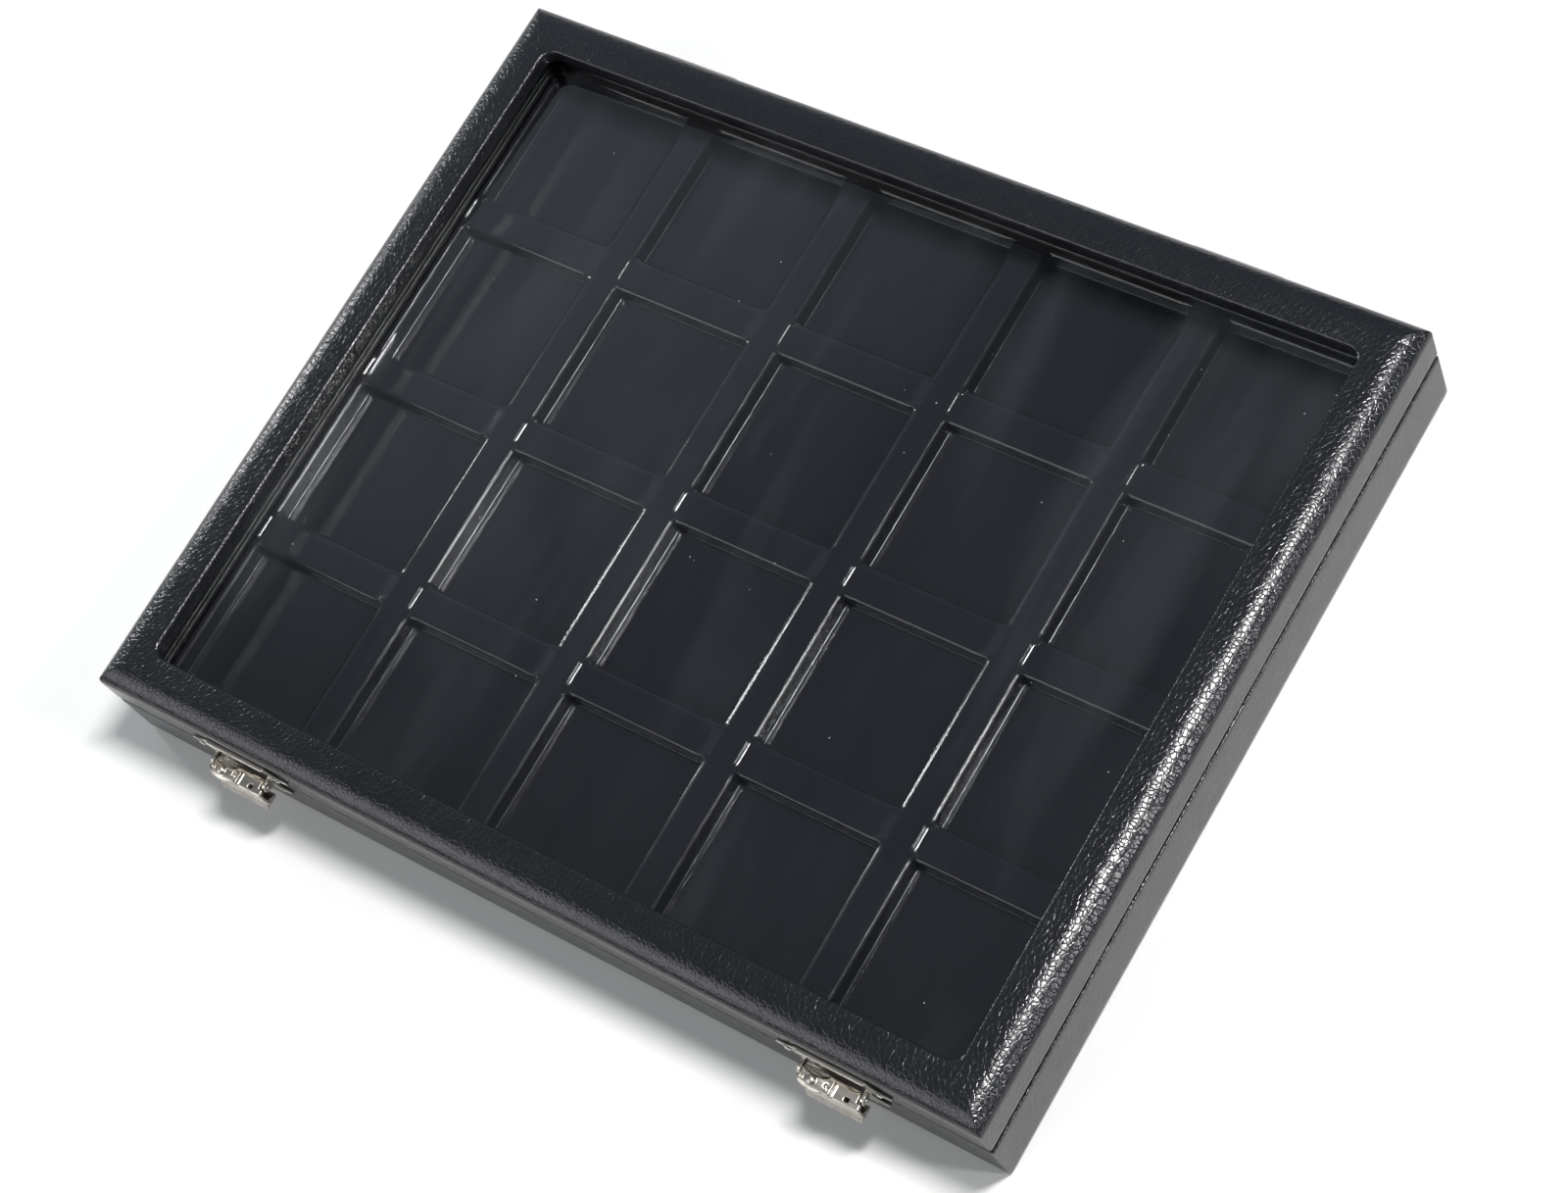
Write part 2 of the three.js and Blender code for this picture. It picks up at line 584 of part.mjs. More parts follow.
const NAIL_SHEET = PLATE_SHEET + 2 * GLUE_GAP;
for (const [end, sign] of [['left', -1], ['right', 1]]) {
  const at = [CLASP_X[end], 0, 0];
  const pinHalf = TONGUE_HALF + PIN_PROUD;
  add(`clasp_plate_${end}`, lidClaspPlate().translate(at), 'nickel');
  add(`clasp_tongue_${end}`, tongue().translate(at), 'nickel');
  const pin = cylinderX(CLASP_PIN, -pinHalf, pinHalf, CLASP_Y, CLASP_AXIS_Z);
  add(`clasp_pin_${end}`, pin.translate(at), 'steel');
  add(`strike_plate_${end}`, strikePlate().translate(at), 'nickel');
  add(`strike_rivet_${end}`, fastener(NAIL, 'front', at[0], STRIKE_RIVET_Z, NAIL_SHEET), 'steel');
  for (const [place, along] of [['outer', sign], ['inner', -sign]]) {
    const x = at[0] + along * NAIL_X;
    add(`clasp_nail_${end}_${place}`, fastener(NAIL, 'front', x, LID_NAIL_Z, NAIL_SHEET), 'steel');
  }
}

export default group;
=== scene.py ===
import json
import math

import bmesh
import bpy
import numpy as np
from mathutils import Matrix, Vector, noise

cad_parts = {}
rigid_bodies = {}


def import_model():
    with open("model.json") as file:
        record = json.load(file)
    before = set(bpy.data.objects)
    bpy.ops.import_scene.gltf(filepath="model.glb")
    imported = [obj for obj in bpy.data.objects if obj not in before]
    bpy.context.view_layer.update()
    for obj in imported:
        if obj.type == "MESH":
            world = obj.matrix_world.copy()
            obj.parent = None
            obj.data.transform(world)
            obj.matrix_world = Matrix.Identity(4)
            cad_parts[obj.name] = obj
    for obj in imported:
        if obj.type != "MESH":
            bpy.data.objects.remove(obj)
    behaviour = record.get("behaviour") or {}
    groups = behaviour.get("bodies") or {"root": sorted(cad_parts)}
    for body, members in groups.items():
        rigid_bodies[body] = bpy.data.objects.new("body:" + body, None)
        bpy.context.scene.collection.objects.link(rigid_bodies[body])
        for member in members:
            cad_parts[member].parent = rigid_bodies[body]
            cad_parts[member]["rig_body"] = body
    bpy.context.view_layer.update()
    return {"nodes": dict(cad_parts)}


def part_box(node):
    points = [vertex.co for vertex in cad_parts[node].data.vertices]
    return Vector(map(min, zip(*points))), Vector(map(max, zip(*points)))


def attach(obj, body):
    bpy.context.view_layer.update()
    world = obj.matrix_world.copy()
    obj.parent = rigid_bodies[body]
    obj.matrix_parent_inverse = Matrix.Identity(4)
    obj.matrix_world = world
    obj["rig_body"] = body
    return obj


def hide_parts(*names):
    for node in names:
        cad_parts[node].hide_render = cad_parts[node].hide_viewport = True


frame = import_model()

MM = 0.001


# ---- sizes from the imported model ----
def box_mm(node):
    low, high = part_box(node)
    return low / MM, high / MM


HALF_X = box_mm("base_wall_right")[1].x
HALF_Y = box_mm("base_wall_back")[1].y
WALL = HALF_X - box_mm("base_wall_right")[0].x
BASE_LOW = box_mm("base_wall_right")[0].z
BASE_TOP = box_mm("base_wall_right")[1].z
LID_LOW = box_mm("lid_wall_right")[0].z
RAIL_LOW = box_mm("top_rail_right")[0].z
CASE_TOP = box_mm("top_rail_right")[1].z
RAIL_WIDTH = 13.6 # from the case's face to the window
SIDES = ("front", "back", "left", "right")
ENDS = ("left", "right")


# ---- meshes ----
def new_piece(name, mesh, slot, body, replaced):
    """An object that rides on a body and stands for the CAD nodes in replaced. Its slot names its look."""
    piece = bpy.data.objects.new(name, mesh)
    bpy.context.scene.collection.objects.link(piece)
    mesh.materials.clear()
    mesh.materials.append(LOOKS[slot])
    mesh.polygons.foreach_set("use_smooth", [True] * len(mesh.polygons))
    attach(piece, body)
    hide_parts(*replaced)
    return piece


def mesh_from(name, points, faces):
    """A mesh from points in millimetres, its faces turned outwards."""
    mesh = bpy.data.meshes.new(name)
    mesh.from_pydata((np.array(points, float) * MM).tolist(), [], faces)
    shape = bmesh.new()
    shape.from_mesh(mesh)
    bmesh.ops.recalc_face_normals(shape, faces=shape.faces)
    shape.to_mesh(mesh)
    shape.free()
    return mesh


def spread(start, end, count):
    """Count values after start, up to and including end."""
    return [start + (end - start) * step / count for step in range(1, count + 1)]


def arc(centre_a, centre_b, radius, first, last, steps):
    """Points of an arc, angles in degrees, both ends included."""
    points = []
    for step in range(steps + 1):
        angle = math.radians(first + (last - first) * step / steps)
        points.append((centre_a + radius * math.cos(angle), centre_b + radius * math.sin(angle)))
    return points


def rounded_loop(half_x, half_y, radius, arc_steps, stations):
    """Points round a rounded rectangle. stations has the spans along its X sides and its Y sides."""
    across = half_x - radius
    along = half_y - radius
    centres = ((across, along), (-across, along), (-across, -along), (across, -along))
    points = []
    for corner, (x, y) in enumerate(centres):
        turn = 90 * corner
        points += arc(x, y, radius, turn, turn + 90, arc_steps)
        next_x, next_y = centres[(corner + 1) % 4]
        out_x, out_y = arc(0, 0, radius, turn + 90, turn + 90, 1)[0]
        spans = stations[corner % 2]
        for step in range(1, spans):
            share = step / spans
            points.append((x + (next_x - x) * share + out_x, y + (next_y - y) * share + out_y))
    return points


def grid_faces(wide, deep, first=0):
    """Squares over a grid of wide by deep points that starts at point number first."""
    faces = []
    for j in range(deep - 1):
        for i in range(wide - 1):
            corner = first + j * wide + i
            faces.append((corner, corner + 1, corner + 1 + wide, corner + wide))
    return faces


def grid_rim(wide, deep):
    """The numbers of the points round a grid's edge, in order."""
    last_row = (deep - 1) * wide
    rim = list(range(wide))
    rim += [j * wide + wide - 1 for j in range(1, deep)]
    rim += [last_row + i for i in range(wide - 2, -1, -1)]
    rim += [j * wide for j in range(deep - 2, 0, -1)]
    return rim


# ---- materials ----
class Look:
    """A procedural material, built one node at a time. Texture sizes are in millimetres."""

    def __init__(self, name):
        self.material = bpy.data.materials.new(name)
        self.material.use_nodes = True
        self.tree = self.material.node_tree
        self.tree.nodes.clear()
        self.output = self.node("OutputMaterial")
        self.position = self.node("TexCoord").outputs["Object"]

    def node(self, kind, inputs=None, **settings):
        made = self.tree.nodes.new("ShaderNode" + kind)
        for key, value in settings.items():
            setattr(made, key, value)
        for key, value in (inputs or {}).items():
            self.put(made.inputs[key], value)
        return made

    def put(self, socket, value):
        if isinstance(value, bpy.types.NodeSocket):
            self.tree.links.new(value, socket)
        else:
            socket.default_value = value

    def noise(self, size, detail=2.0, roughness=0.5, where=None, distortion=0.0):
        inputs = {
            "Vector": where or self.position,
            "Scale": 1 / (size * MM),
            "Detail": detail,
            "Roughness": roughness,
            "Distortion": distortion,
        }
        return self.node("TexNoise", inputs).outputs["Fac"]

    def cells(self, size, feature="F1", where=None, output="Distance"):
        inputs = {"Vector": where or self.position, "Scale": 1 / (size * MM)}
        return self.node("TexVoronoi", inputs, feature=feature).outputs[output]

    def stretched(self, x, y, z):
        scaled = self.node("VectorMath", {0: self.position, 1: (x, y, z)}, operation="MULTIPLY")
        return scaled.outputs["Vector"]

    def sum(self, first, second, operation="ADD", clamp=False):
        made = self.node("Math", {0: first, 1: second}, operation=operation)
        made.use_clamp = clamp
        return made.outputs["Value"]

    def between(self, value, from_low, from_high, to_low, to_high):
        inputs = {
            "Value": value,
            "From Min": from_low,
            "From Max": from_high,
            "To Min": to_low,
            "To Max": to_high,
        }
        return self.node("MapRange", inputs).outputs["Result"]

    def blend(self, factor, first, second):
        made = self.node("Mix", data_type="RGBA")
        self.put(made.inputs[0], factor)
        for socket, colour in ((made.inputs[6], first), (made.inputs[7], second)):
            self.put(socket, (*colour, 1) if isinstance(colour, tuple) else colour)
        return made.outputs[2]

    def bump(self, height, depth):
        inputs = {"Height": height, "Distance": depth * MM, "Strength": 1.0}
        return self.node("Bump", inputs).outputs["Normal"]

    def surface(self, **inputs):
        """The material's one Principled shader. Names are its sockets' names with _ for a space."""
        shader = self.node("BsdfPrincipled")
        for key, value in inputs.items():
            self.put(shader.inputs[key.replace("_", " ")], value)
        self.put(self.output.inputs["Surface"], shader.outputs[0])


def leatherette_look():
    """Blue-black coated cloth: flat-topped pebbles between narrow creases, paler where edges are rubbed."""
    look = Look("leatherette")
    pebble_size = 1.5
    drift = look.node("TexNoise", {"Vector": look.position, "Scale": 1 / (2.6 * MM)}).outputs["Color"]
    shift = look.node("VectorMath", {0: drift, 1: (0.9 * MM,) * 3}, operation="MULTIPLY").outputs["Vector"]
    bent = look.node("VectorMath", {0: look.position, 1: shift}, operation="ADD").outputs["Vector"]
    pebble = look.cells(pebble_size, "SMOOTH_F1", bent)
    crease = look.between(look.cells(pebble_size, "DISTANCE_TO_EDGE", bent), 0.0, 0.14, 0.0, 1.0)
    fine = look.noise(0.42, 3.0, 0.6)
    slow = look.noise(34, 2.0)
    height = look.sum(look.between(pebble, 0.0, 0.7, 0.35, 0.0), look.sum(crease, 0.6, "MULTIPLY"))
    height = look.sum(height, look.sum(fine, 0.22, "MULTIPLY"))
    wear = look.node("Attribute", attribute_name="wear").outputs["Fac"]
    patchy = look.sum(wear, look.between(look.noise(4.5, 3.0), 0.35, 0.7, 0.0, 1.0), "MULTIPLY")
    tint = look.between(slow, 0.3, 0.7, 0.0, 1.0)
    base = look.blend(tint, (0.0076, 0.0082, 0.0106), (0.0092, 0.0098, 0.0124))
    base = look.blend(look.sum(patchy, 0.45, "MULTIPLY"), base, (0.014, 0.015, 0.018))
    roughness = look.between(look.noise(9, 3.0), 0.3, 0.7, 0.19, 0.24)
    look.surface(
        Base_Color=base,
        Roughness=roughness,
        Normal=look.bump(height, 0.065),
        IOR=1.5,
    )
    return look.material


def tray_look():
    """Black moulded plastic: satin, with a faint emboss and soft moulding marks."""
    look = Look("tray_plastic")
    emboss = look.noise(0.5, 2.0, 0.6)
    flow = look.noise(16, 2.0, 0.5, look.stretched(1.0, 0.25, 1.0))
    height = look.sum(look.sum(emboss, 0.5, "MULTIPLY"), flow)
    tint = look.between(flow, 0.3, 0.7, 0.0, 1.0)
    look.surface(
        Base_Color=look.blend(tint, (0.0106, 0.0106, 0.0138), (0.0138, 0.0138, 0.0172)),
        Roughness=look.between(look.noise(6, 3.0), 0.3, 0.7, 0.10, 0.15),
        Normal=look.bump(height, 0.007),
        IOR=1.48,
    )
    return look.material


def strip_look():
    """Black extruded strip that holds the pane, with fine drawing lines along it."""
    look = Look("glazing_strip")
    lines = look.noise(0.7, 2.0, 0.5, look.stretched(0.05, 1.0, 1.0))
    grain = look.noise(0.35, 2.0)
    look.surface(
        Base_Color=look.blend(grain, (0.009, 0.0095, 0.010), (0.014, 0.0145, 0.016)),
        Roughness=look.between(grain, 0.3, 0.7, 0.16, 0.24),
        Normal=look.bump(look.sum(lines, grain), 0.03),
    )
    return look.material


def felt_look():
    """Thin black felt: matted fibres with a dusty sheen."""
    look = Look("felt")
    fibres = look.noise(0.8, 4.0, 0.7, look.stretched(1.0, 0.3, 1.0), 1.5)
    across = look.noise(0.8, 4.0, 0.7, look.stretched(0.3, 1.0, 1.0), 1.5)
    mat = look.sum(fibres, across)
    tint = look.between(mat, 0.7, 1.3, 0.0, 1.0)
    look.surface(
        Base_Color=look.blend(tint, (0.010, 0.010, 0.011), (0.034, 0.034, 0.036)),
        Roughness=0.95,
        Normal=look.bump(mat, 0.12),
        Sheen_Weight=0.35,
        Sheen_Roughness=0.5,
    )
    return look.material


def board_look():
    """Grey-brown pressed board."""
    look = Look("board")
    fibre = look.noise(1.6, 5.0, 0.7, look.stretched(1.0, 0.4, 1.0), 0.8)
    fleck = look.cells(0.9)
    shade = look.blend(look.between(fibre, 0.3, 0.7, 0.0, 1.0), (0.10, 0.075, 0.05), (0.19, 0.15, 0.105))
    look.surface(
        Base_Color=look.blend(look.between(fleck, 0.0, 0.3, 0.5, 0.0), shade, (0.06, 0.045, 0.03)),
        Roughness=0.9,
        Normal=look.bump(fibre, 0.06),
    )
    return look.material


def foam_look():
    """Charcoal foam with open pores, their hollow centres painted darker as shade."""
    look = Look("foam")
    pores = look.cells(0.9)
    # painted shade: the colour darkens towards each pore's centre, where the bump sinks into a hollow
    tint = look.between(pores, 0.1, 0.5, 0.0, 1.0)
    look.surface(
        Base_Color=look.blend(tint, (0.008, 0.008, 0.009), (0.035, 0.035, 0.038)),
        Roughness=0.95,
        Normal=look.bump(pores, 0.25),
    )
    return look.material


def metal_look(name, bright, dull, low, high, scratch):
    """Plated metal: cloudy polish, fine scratches and dull grime in patches."""
    look = Look(name)
    cloud = look.noise(3.2, 4.0, 0.6)
    scratches = look.noise(0.5, 3.0, 0.6, look.stretched(0.12, 1.0, 1.0))
    shade = look.blend(look.between(cloud, 0.35, 0.7, 0.0, 1.0), bright, dull)
    look.surface(
        Base_Color=shade,
        Metallic=1.0,
        Roughness=look.between(look.sum(cloud, scratches), 0.7, 1.3, low, high),
        Normal=look.bump(look.sum(look.sum(scratches, 0.5, "MULTIPLY"), look.noise(1.8)), scratch),
    )
    return look.material


def pane_look():
    """Clear acrylic: the light passes, both faces reflect a little, with dust and wiping smears."""
    look = Look("clear_pane")
    clear = look.node("BsdfTransparent", {"Color": (0.965, 0.975, 0.975, 1)}).outputs[0]
    smear = look.noise(26, 3.0, 0.55, look.stretched(1.0, 0.18, 1.0), 0.4)
    gloss = look.node(
        "BsdfGlossy",
        {"Color": (1, 1, 1, 1), "Roughness": look.between(smear, 0.45, 0.75, 0.015, 0.06)},
    ).outputs[0]
    # the thin pane bends no light, so only its outer faces mirror
    outside = look.sum(1.0, look.node("NewGeometry").outputs["Backfacing"], "SUBTRACT")
    mirror = look.sum(look.node("Fresnel", {"IOR": 1.49}).outputs[0], outside, "MULTIPLY")
    glass = look.node("MixShader", {0: mirror, 1: clear, 2: gloss}).outputs[0]
    dust_spacing = 7.5
    specks = look.between(look.cells(dust_spacing), 0.018, 0.034, 1.0, 0.0)
    chosen = look.between(look.cells(dust_spacing, output="Color"), 0.62, 0.66, 0.0, 0.55)
    haze = look.between(smear, 0.5, 0.78, 0.0, 0.012)
    dust = look.sum(look.sum(specks, chosen, "MULTIPLY"), haze, "ADD", True)
    grey = look.node("BsdfDiffuse", {"Color": (0.62, 0.66, 0.72, 1)}).outputs[0]
    covered = look.node("MixShader", {0: dust, 1: glass, 2: grey}).outputs[0]
    look.put(look.output.inputs["Surface"], covered)
    return look.material


LOOKS = {
    "leatherette": leatherette_look(),
    "tray": tray_look(),
    "strip": strip_look(),
    "felt": felt_look(),
    "board": board_look(),
    "foam": foam_look(),
    "nickel": metal_look("nickel", (0.60, 0.57, 0.52), (0.38, 0.35, 0.31), 0.25, 0.42, 0.02),
    "steel": metal_look("steel", (0.50, 0.49, 0.47), (0.34, 0.33, 0.31), 0.22, 0.40, 0.015),
    "pane": pane_look(),
}


# ---- leatherette covers: a section carried round the case ----
CORNER_STEPS = 8
STATIONS = (150, 122) # spans along the front and back, and along the sides
SWELL_SIZE = 24 # how far apart the covering's soft swells are
SWELL = 0.06 # and how high
CREASE_RADIUS = 0.3
CORNER_WEAR = 6 # the rubbing at the case's corners fades over this distance
RIM_WEAR = 0.6 # rubbing at the rims that meet


def ring_cover(name, section, radius_at, shown, worn, body, replaced):
    """A closed section of (inset, height) points carried round the case, with soft swells where it shows."""
    points = []
    wear = []
    for inset, height in section:
        radius = radius_at(inset, height)
        for x, y in rounded_loop(HALF_X - inset, HALF_Y - inset, radius, CORNER_STEPS, STATIONS):
            place = Vector((x, y, height))
            if shown(inset, height):
                place += noise.noise_vector(place / SWELL_SIZE) * SWELL
            points.append(tuple(place))
            corner = math.hypot(HALF_X - abs(x), HALF_Y - abs(y))
            wear.append(max(worn(inset, height), math.exp(-corner / CORNER_WEAR)))
    around = len(points) // len(section)
    faces = []
    for row in range(len(section)):
        below = row * around
        above = (row + 1) % len(section) * around
        for column in range(around):
            beside = (column + 1) % around
            faces.append((below + column, below + beside, above + beside, above + column))
    mesh = mesh_from(name, points, faces)
    mesh.attributes.new("wear", "FLOAT", "POINT").data.foreach_set("value", wear)
    new_piece(name, mesh, "leatherette", body, replaced)


EDGE_RUN = 7.2 # the rails' crown falls away over this width
EDGE_DROP = 4.6 # to this far below the case's top
RIM_RADIUS = 0.4 # inner rims where base and lid meet
LID_RIM = 0.6 # outer rim of the lid
UNDERCUT = 1.1 # the lid's rim rises this far towards its outer face
UNDERCUT_RUN = 3.0 # over this width
BASE_RIM = 0.4 # outer rim of the base
BASE_FOOT = 0.9 # lower rim of the base
WINDOW_ROUND = 0.9 # the rails' rounding round the window
WINDOW_CORNER = 4.0 # the window's corners, seen from above
UPRIGHT_CORNER = 0.9 # the case's corners
CORNER_TIGHTENING = 1.4 # how fast the rails' corner radius shrinks inwards
MITRE_END = 6.0 # the fold at each corner runs this far in


def lid_section():
    """Up the outer face, over the crown to the window, and back down inside."""
    shoulder = CASE_TOP - EDGE_DROP
    window = RAIL_WIDTH - WINDOW_ROUND
    face_low = LID_LOW + UNDERCUT + LID_RIM
    section = [(UNDERCUT_RUN, LID_LOW)] + arc(LID_RIM, face_low, LID_RIM, 262, 180, 5)
    section += [(0, height) for height in spread(face_low, shoulder, 6)]
    crown = arc(0, 0, 1, 180, 90, 22)[1:]
    section += [(EDGE_RUN * (1 + inwards), shoulder + EDGE_DROP * upwards) for inwards, upwards in crown]
    section += [(inset, CASE_TOP) for inset in spread(EDGE_RUN, window, 3)]
    section += arc(window, CASE_TOP - WINDOW_ROUND, WINDOW_ROUND, 90, 0, 6)[1:]
    reveal = spread(CASE_TOP - WINDOW_ROUND, RAIL_LOW + RIM_RADIUS, 3)
    section += [(RAIL_WIDTH, height) for height in reveal]
    section += arc(RAIL_WIDTH - RIM_RADIUS, RAIL_LOW + RIM_RADIUS, RIM_RADIUS, 0, -90, 3)[1:]
    section += [(WALL, RAIL_LOW)]
    section += [(WALL, height) for height in spread(RAIL_LOW, LID_LOW + RIM_RADIUS, 3)]
    section += arc(WALL - RIM_RADIUS, LID_LOW + RIM_RADIUS, RIM_RADIUS, 0, -90, 4)[1:]
    return section


def lid_radius(inset, height):
    """Tight at the upright corners, and opening to the window's rounded corners across the top."""
    if inset <= WALL and height <= RAIL_LOW:
        return max(CREASE_RADIUS, UPRIGHT_CORNER - inset)
    if inset < MITRE_END:
        return max(CREASE_RADIUS, UPRIGHT_CORNER - CORNER_TIGHTENING * inset)
    share = (inset - MITRE_END) / (RAIL_WIDTH - MITRE_END)
    return CREASE_RADIUS + (WINDOW_CORNER - CREASE_RADIUS) * share


def lid_shown(inset, height):
    """Everywhere but the reveal under the rails and the rims that meet the base."""
    return inset < EDGE_RUN and height > LID_LOW + 2 or height > RAIL_LOW + 1


def lid_worn(inset, height):
    """Rubbed along the rounded edge, a little round the window, and at the rim that meets the base."""
    from_crown = inset - 1.3
    from_window = RAIL_WIDTH - inset
    edge = math.exp(-(from_crown**2) / 1.5) if height > CASE_TOP - 4 else 0
    window = 0.5 * math.exp(-from_window / 0.5) if height > CASE_TOP - 1.5 else 0
    rim = RIM_WEAR if inset < 1 and height < LID_LOW + UNDERCUT + 0.3 else 0
    return max(edge, window, rim)


def base_section():
    """Up the outer face, over the rim and down inside."""
    section = arc(BASE_FOOT, BASE_LOW + BASE_FOOT, BASE_FOOT, 270, 180, 5)
    section += [(0, height) for height in spread(BASE_LOW + BASE_FOOT, BASE_TOP - BASE_RIM, 8)]
    section += arc(BASE_RIM, BASE_TOP - BASE_RIM, BASE_RIM, 180, 90, 7)[1:]
    section += [(inset, BASE_TOP) for inset in spread(BASE_RIM, WALL - RIM_RADIUS, 3)]
    section += arc(WALL - RIM_RADIUS, BASE_TOP - RIM_RADIUS, RIM_RADIUS, 90, 0, 4)[1:]
    section += [(WALL, height) for height in spread(BASE_TOP - RIM_RADIUS, BASE_LOW, 5)]
    section += [(inset, BASE_LOW) for inset in spread(WALL, BASE_FOOT, 3)[:-1]]
    return section


def base_radius(inset, height):
    """The base's upright corners, the same at every height."""
    return max(CREASE_RADIUS, UPRIGHT_CORNER - inset)


def base_shown(inset, height):
    """The outer faces, clear of the base's foot and rim."""
    return inset < 0.01 and BASE_LOW + 2 < height < BASE_TOP - 1


def base_worn(inset, height):
    """Rubbed along the lower edge and the rim that meets the lid."""
    low_edge = math.exp(-(height - BASE_LOW) / 0.8)
    rim = RIM_WEAR if height > BASE_TOP - 0.3 and inset < 1 else 0
    return max(low_edge if inset < 2 else 0, rim)


def nodes_of(prefix):
    """The names of a CAD part's four sides."""
    return [f"{prefix}_{side}" for side in SIDES]


lid_nodes = nodes_of("lid_wall") + nodes_of("top_rail")
ring_cover("lid_cover", lid_section(), lid_radius, lid_shown, lid_worn, "lid", lid_nodes)
ring_cover("base_cover", base_section(), base_radius, base_shown, base_worn, "base", nodes_of("base_wall"))


# ---- the moulded tray ----
FLOOR = box_mm("tray_floor")[1].z
TRAY_UNDER = box_mm("tray_floor")[0].z
LONG_TOP = box_mm("long_divider_1")[1].z
CROSS_TOP = box_mm("cross_divider_1")[1].z
CHAMFER = ((1.15, 20), (0.25, 44), (0.25, 64)) # runs and slopes at a compartment's right side
LEDGED = ((1.15, 6), (0.16, 37), (0.16, 42), (0.16, 47), (0.16, 53)) # and at its other sides
WALL_RUN = 0.45 # draft of the well's walls
FOOT_ROUND = 0.35 # where a wall meets the floor
BREAK = 0.03 # half width of the small rounding between two slopes
POCKET_CORNER = 2.6 # the compartments' corners, seen from above
CORNER_BLEND = 1.2 # a right side's slopes pass into the others' over this distance
FLOOR_MARGIN = 3.2 # the floor's grid is closer this near to the walls
MOULD_SWELL = 0.02
LONG_DIVIDERS = [f"long_divider_{i}" for i in range(1, 5)]
CROSS_DIVIDERS = [f"cross_divider_{i}" for i in range(1, 4)]
STEP_RUN = 0.5 # over which a long divider's right side falls to the lower cross divider
EASY_STEP = 3.6 # and its left side


def pockets(axis, dividers, low_edge, high_edge):
    """The compartments' intervals along one axis, between the tray's edges and its dividers."""
    marks = [box_mm(low_edge)[1][axis]]
    for name in dividers:
        low, high = box_mm(name)
        marks += [low[axis], high[axis]]
    marks.append(box_mm(high_edge)[0][axis])
    return list(zip(marks[::2], marks[1::2]))


COLUMN_SPANS = pockets(0, LONG_DIVIDERS, "tray_edge_left", "tray_edge_right")
ROW_SPANS = pockets(1, CROSS_DIVIDERS, "tray_edge_front", "tray_edge_back")


def pocket_profile(slopes):
    """(distance into the compartment, drop below the divider's top), down to the floor."""
    profile = [(-BREAK, 0.0)]
    depth = 0.0
    drop = 0.0
    for run, slope in slopes:
        rise = math.tan(math.radians(slope))
        profile.append((depth + BREAK, drop + BREAK * rise))
        depth += run
        drop += run * rise
        profile.append((depth - BREAK, drop - BREAK * rise))
    foot_drop = LONG_TOP - FLOOR - FOOT_ROUND
    profile.append((depth + WALL_RUN * 0.1, drop + (foot_drop - drop) * 0.1))
    profile.append((depth + WALL_RUN, foot_drop))
    for angle in spread(0, math.pi / 2, 3):
        run = depth + WALL_RUN + FOOT_ROUND * (1 - math.cos(angle))
        profile.append((run, foot_drop + FOOT_ROUND * math.sin(angle)))
    return np.array(profile)


RIGHT_SIDE = pocket_profile(CHAMFER)
OTHER_SIDES = pocket_profile(LEDGED)


def axis_samples(spans, low, high, start_profile, end_profile):
    """Grid lines across the tray: close together at each compartment's edges."""
    lines = {low, high}
    for start, end in spans:
        lines.update(start + depth for depth in start_profile[:, 0])
        lines.update(end - depth for depth in end_profile[:, 0])
        inner_low = start + start_profile[-1, 0]
        inner_high = end - end_profile[-1, 0]
        lines.update(spread(inner_low, inner_low + FLOOR_MARGIN, 4))
        lines.update(spread(inner_high - FLOOR_MARGIN, inner_high, 4))
        lines.update(spread(inner_low + FLOOR_MARGIN, inner_high - FLOOR_MARGIN, 7))
    for (_, end), (start, _) in zip(spans, spans[1:]):
        lines.update(spread(end, start, 6))
    ordered = sorted(lines)
    kept = [ordered[0]]
    for line in ordered[1:]:
        if line - kept[-1] > BREAK:
            kept.append(line)
    return np.array(kept)


def depth_into(value, spans):
    """How far a coordinate is inside its nearest compartment, negative on a divider."""
    return max(min(value - start, end - value) for start, end in spans)


def pocket_depth(across, along):
    """Depth inside a compartment with rounded corners."""
    side = POCKET_CORNER - across
    end = POCKET_CORNER - along
    if side > 0 and end > 0:
        return POCKET_CORNER - math.hypot(side, end)
    return min(across, along)


def on_right_side(x):
    """Whether a place is nearer its compartment's right side than its left one."""
    start, end = min(COLUMN_SPANS, key=lambda span: abs(x - (span[0] + span[1]) / 2))
    return x > (start + end) / 2


def tray_height(x, y, across, along):
    """The tray's height where a point is across mm inside its column and along mm inside its row."""
    past = max(across, 0) - 1.5 * max(along, 0)
    if on_right_side(x):
        fallen = min(max(past / EASY_STEP, 0), 1)
    else:
        step = min(max(past / STEP_RUN, 0), 1)
        fallen = step * (2 - step)
    top = LONG_TOP + (CROSS_TOP - LONG_TOP) * fallen
    depth = pocket_depth(across, along)
    drop = np.interp(depth, OTHER_SIDES[:, 0], OTHER_SIDES[:, 1])
    if on_right_side(x):
        share = min(max(0.5 + (along - across) / CORNER_BLEND, 0), 1)
        drop += share * (np.interp(depth, RIGHT_SIDE[:, 0], RIGHT_SIDE[:, 1]) - drop)
    swell = MOULD_SWELL * noise.noise(Vector((x, y, 0)) / SWELL_SIZE)
    return top - drop * (top - FLOOR) / (LONG_TOP - FLOOR) + swell


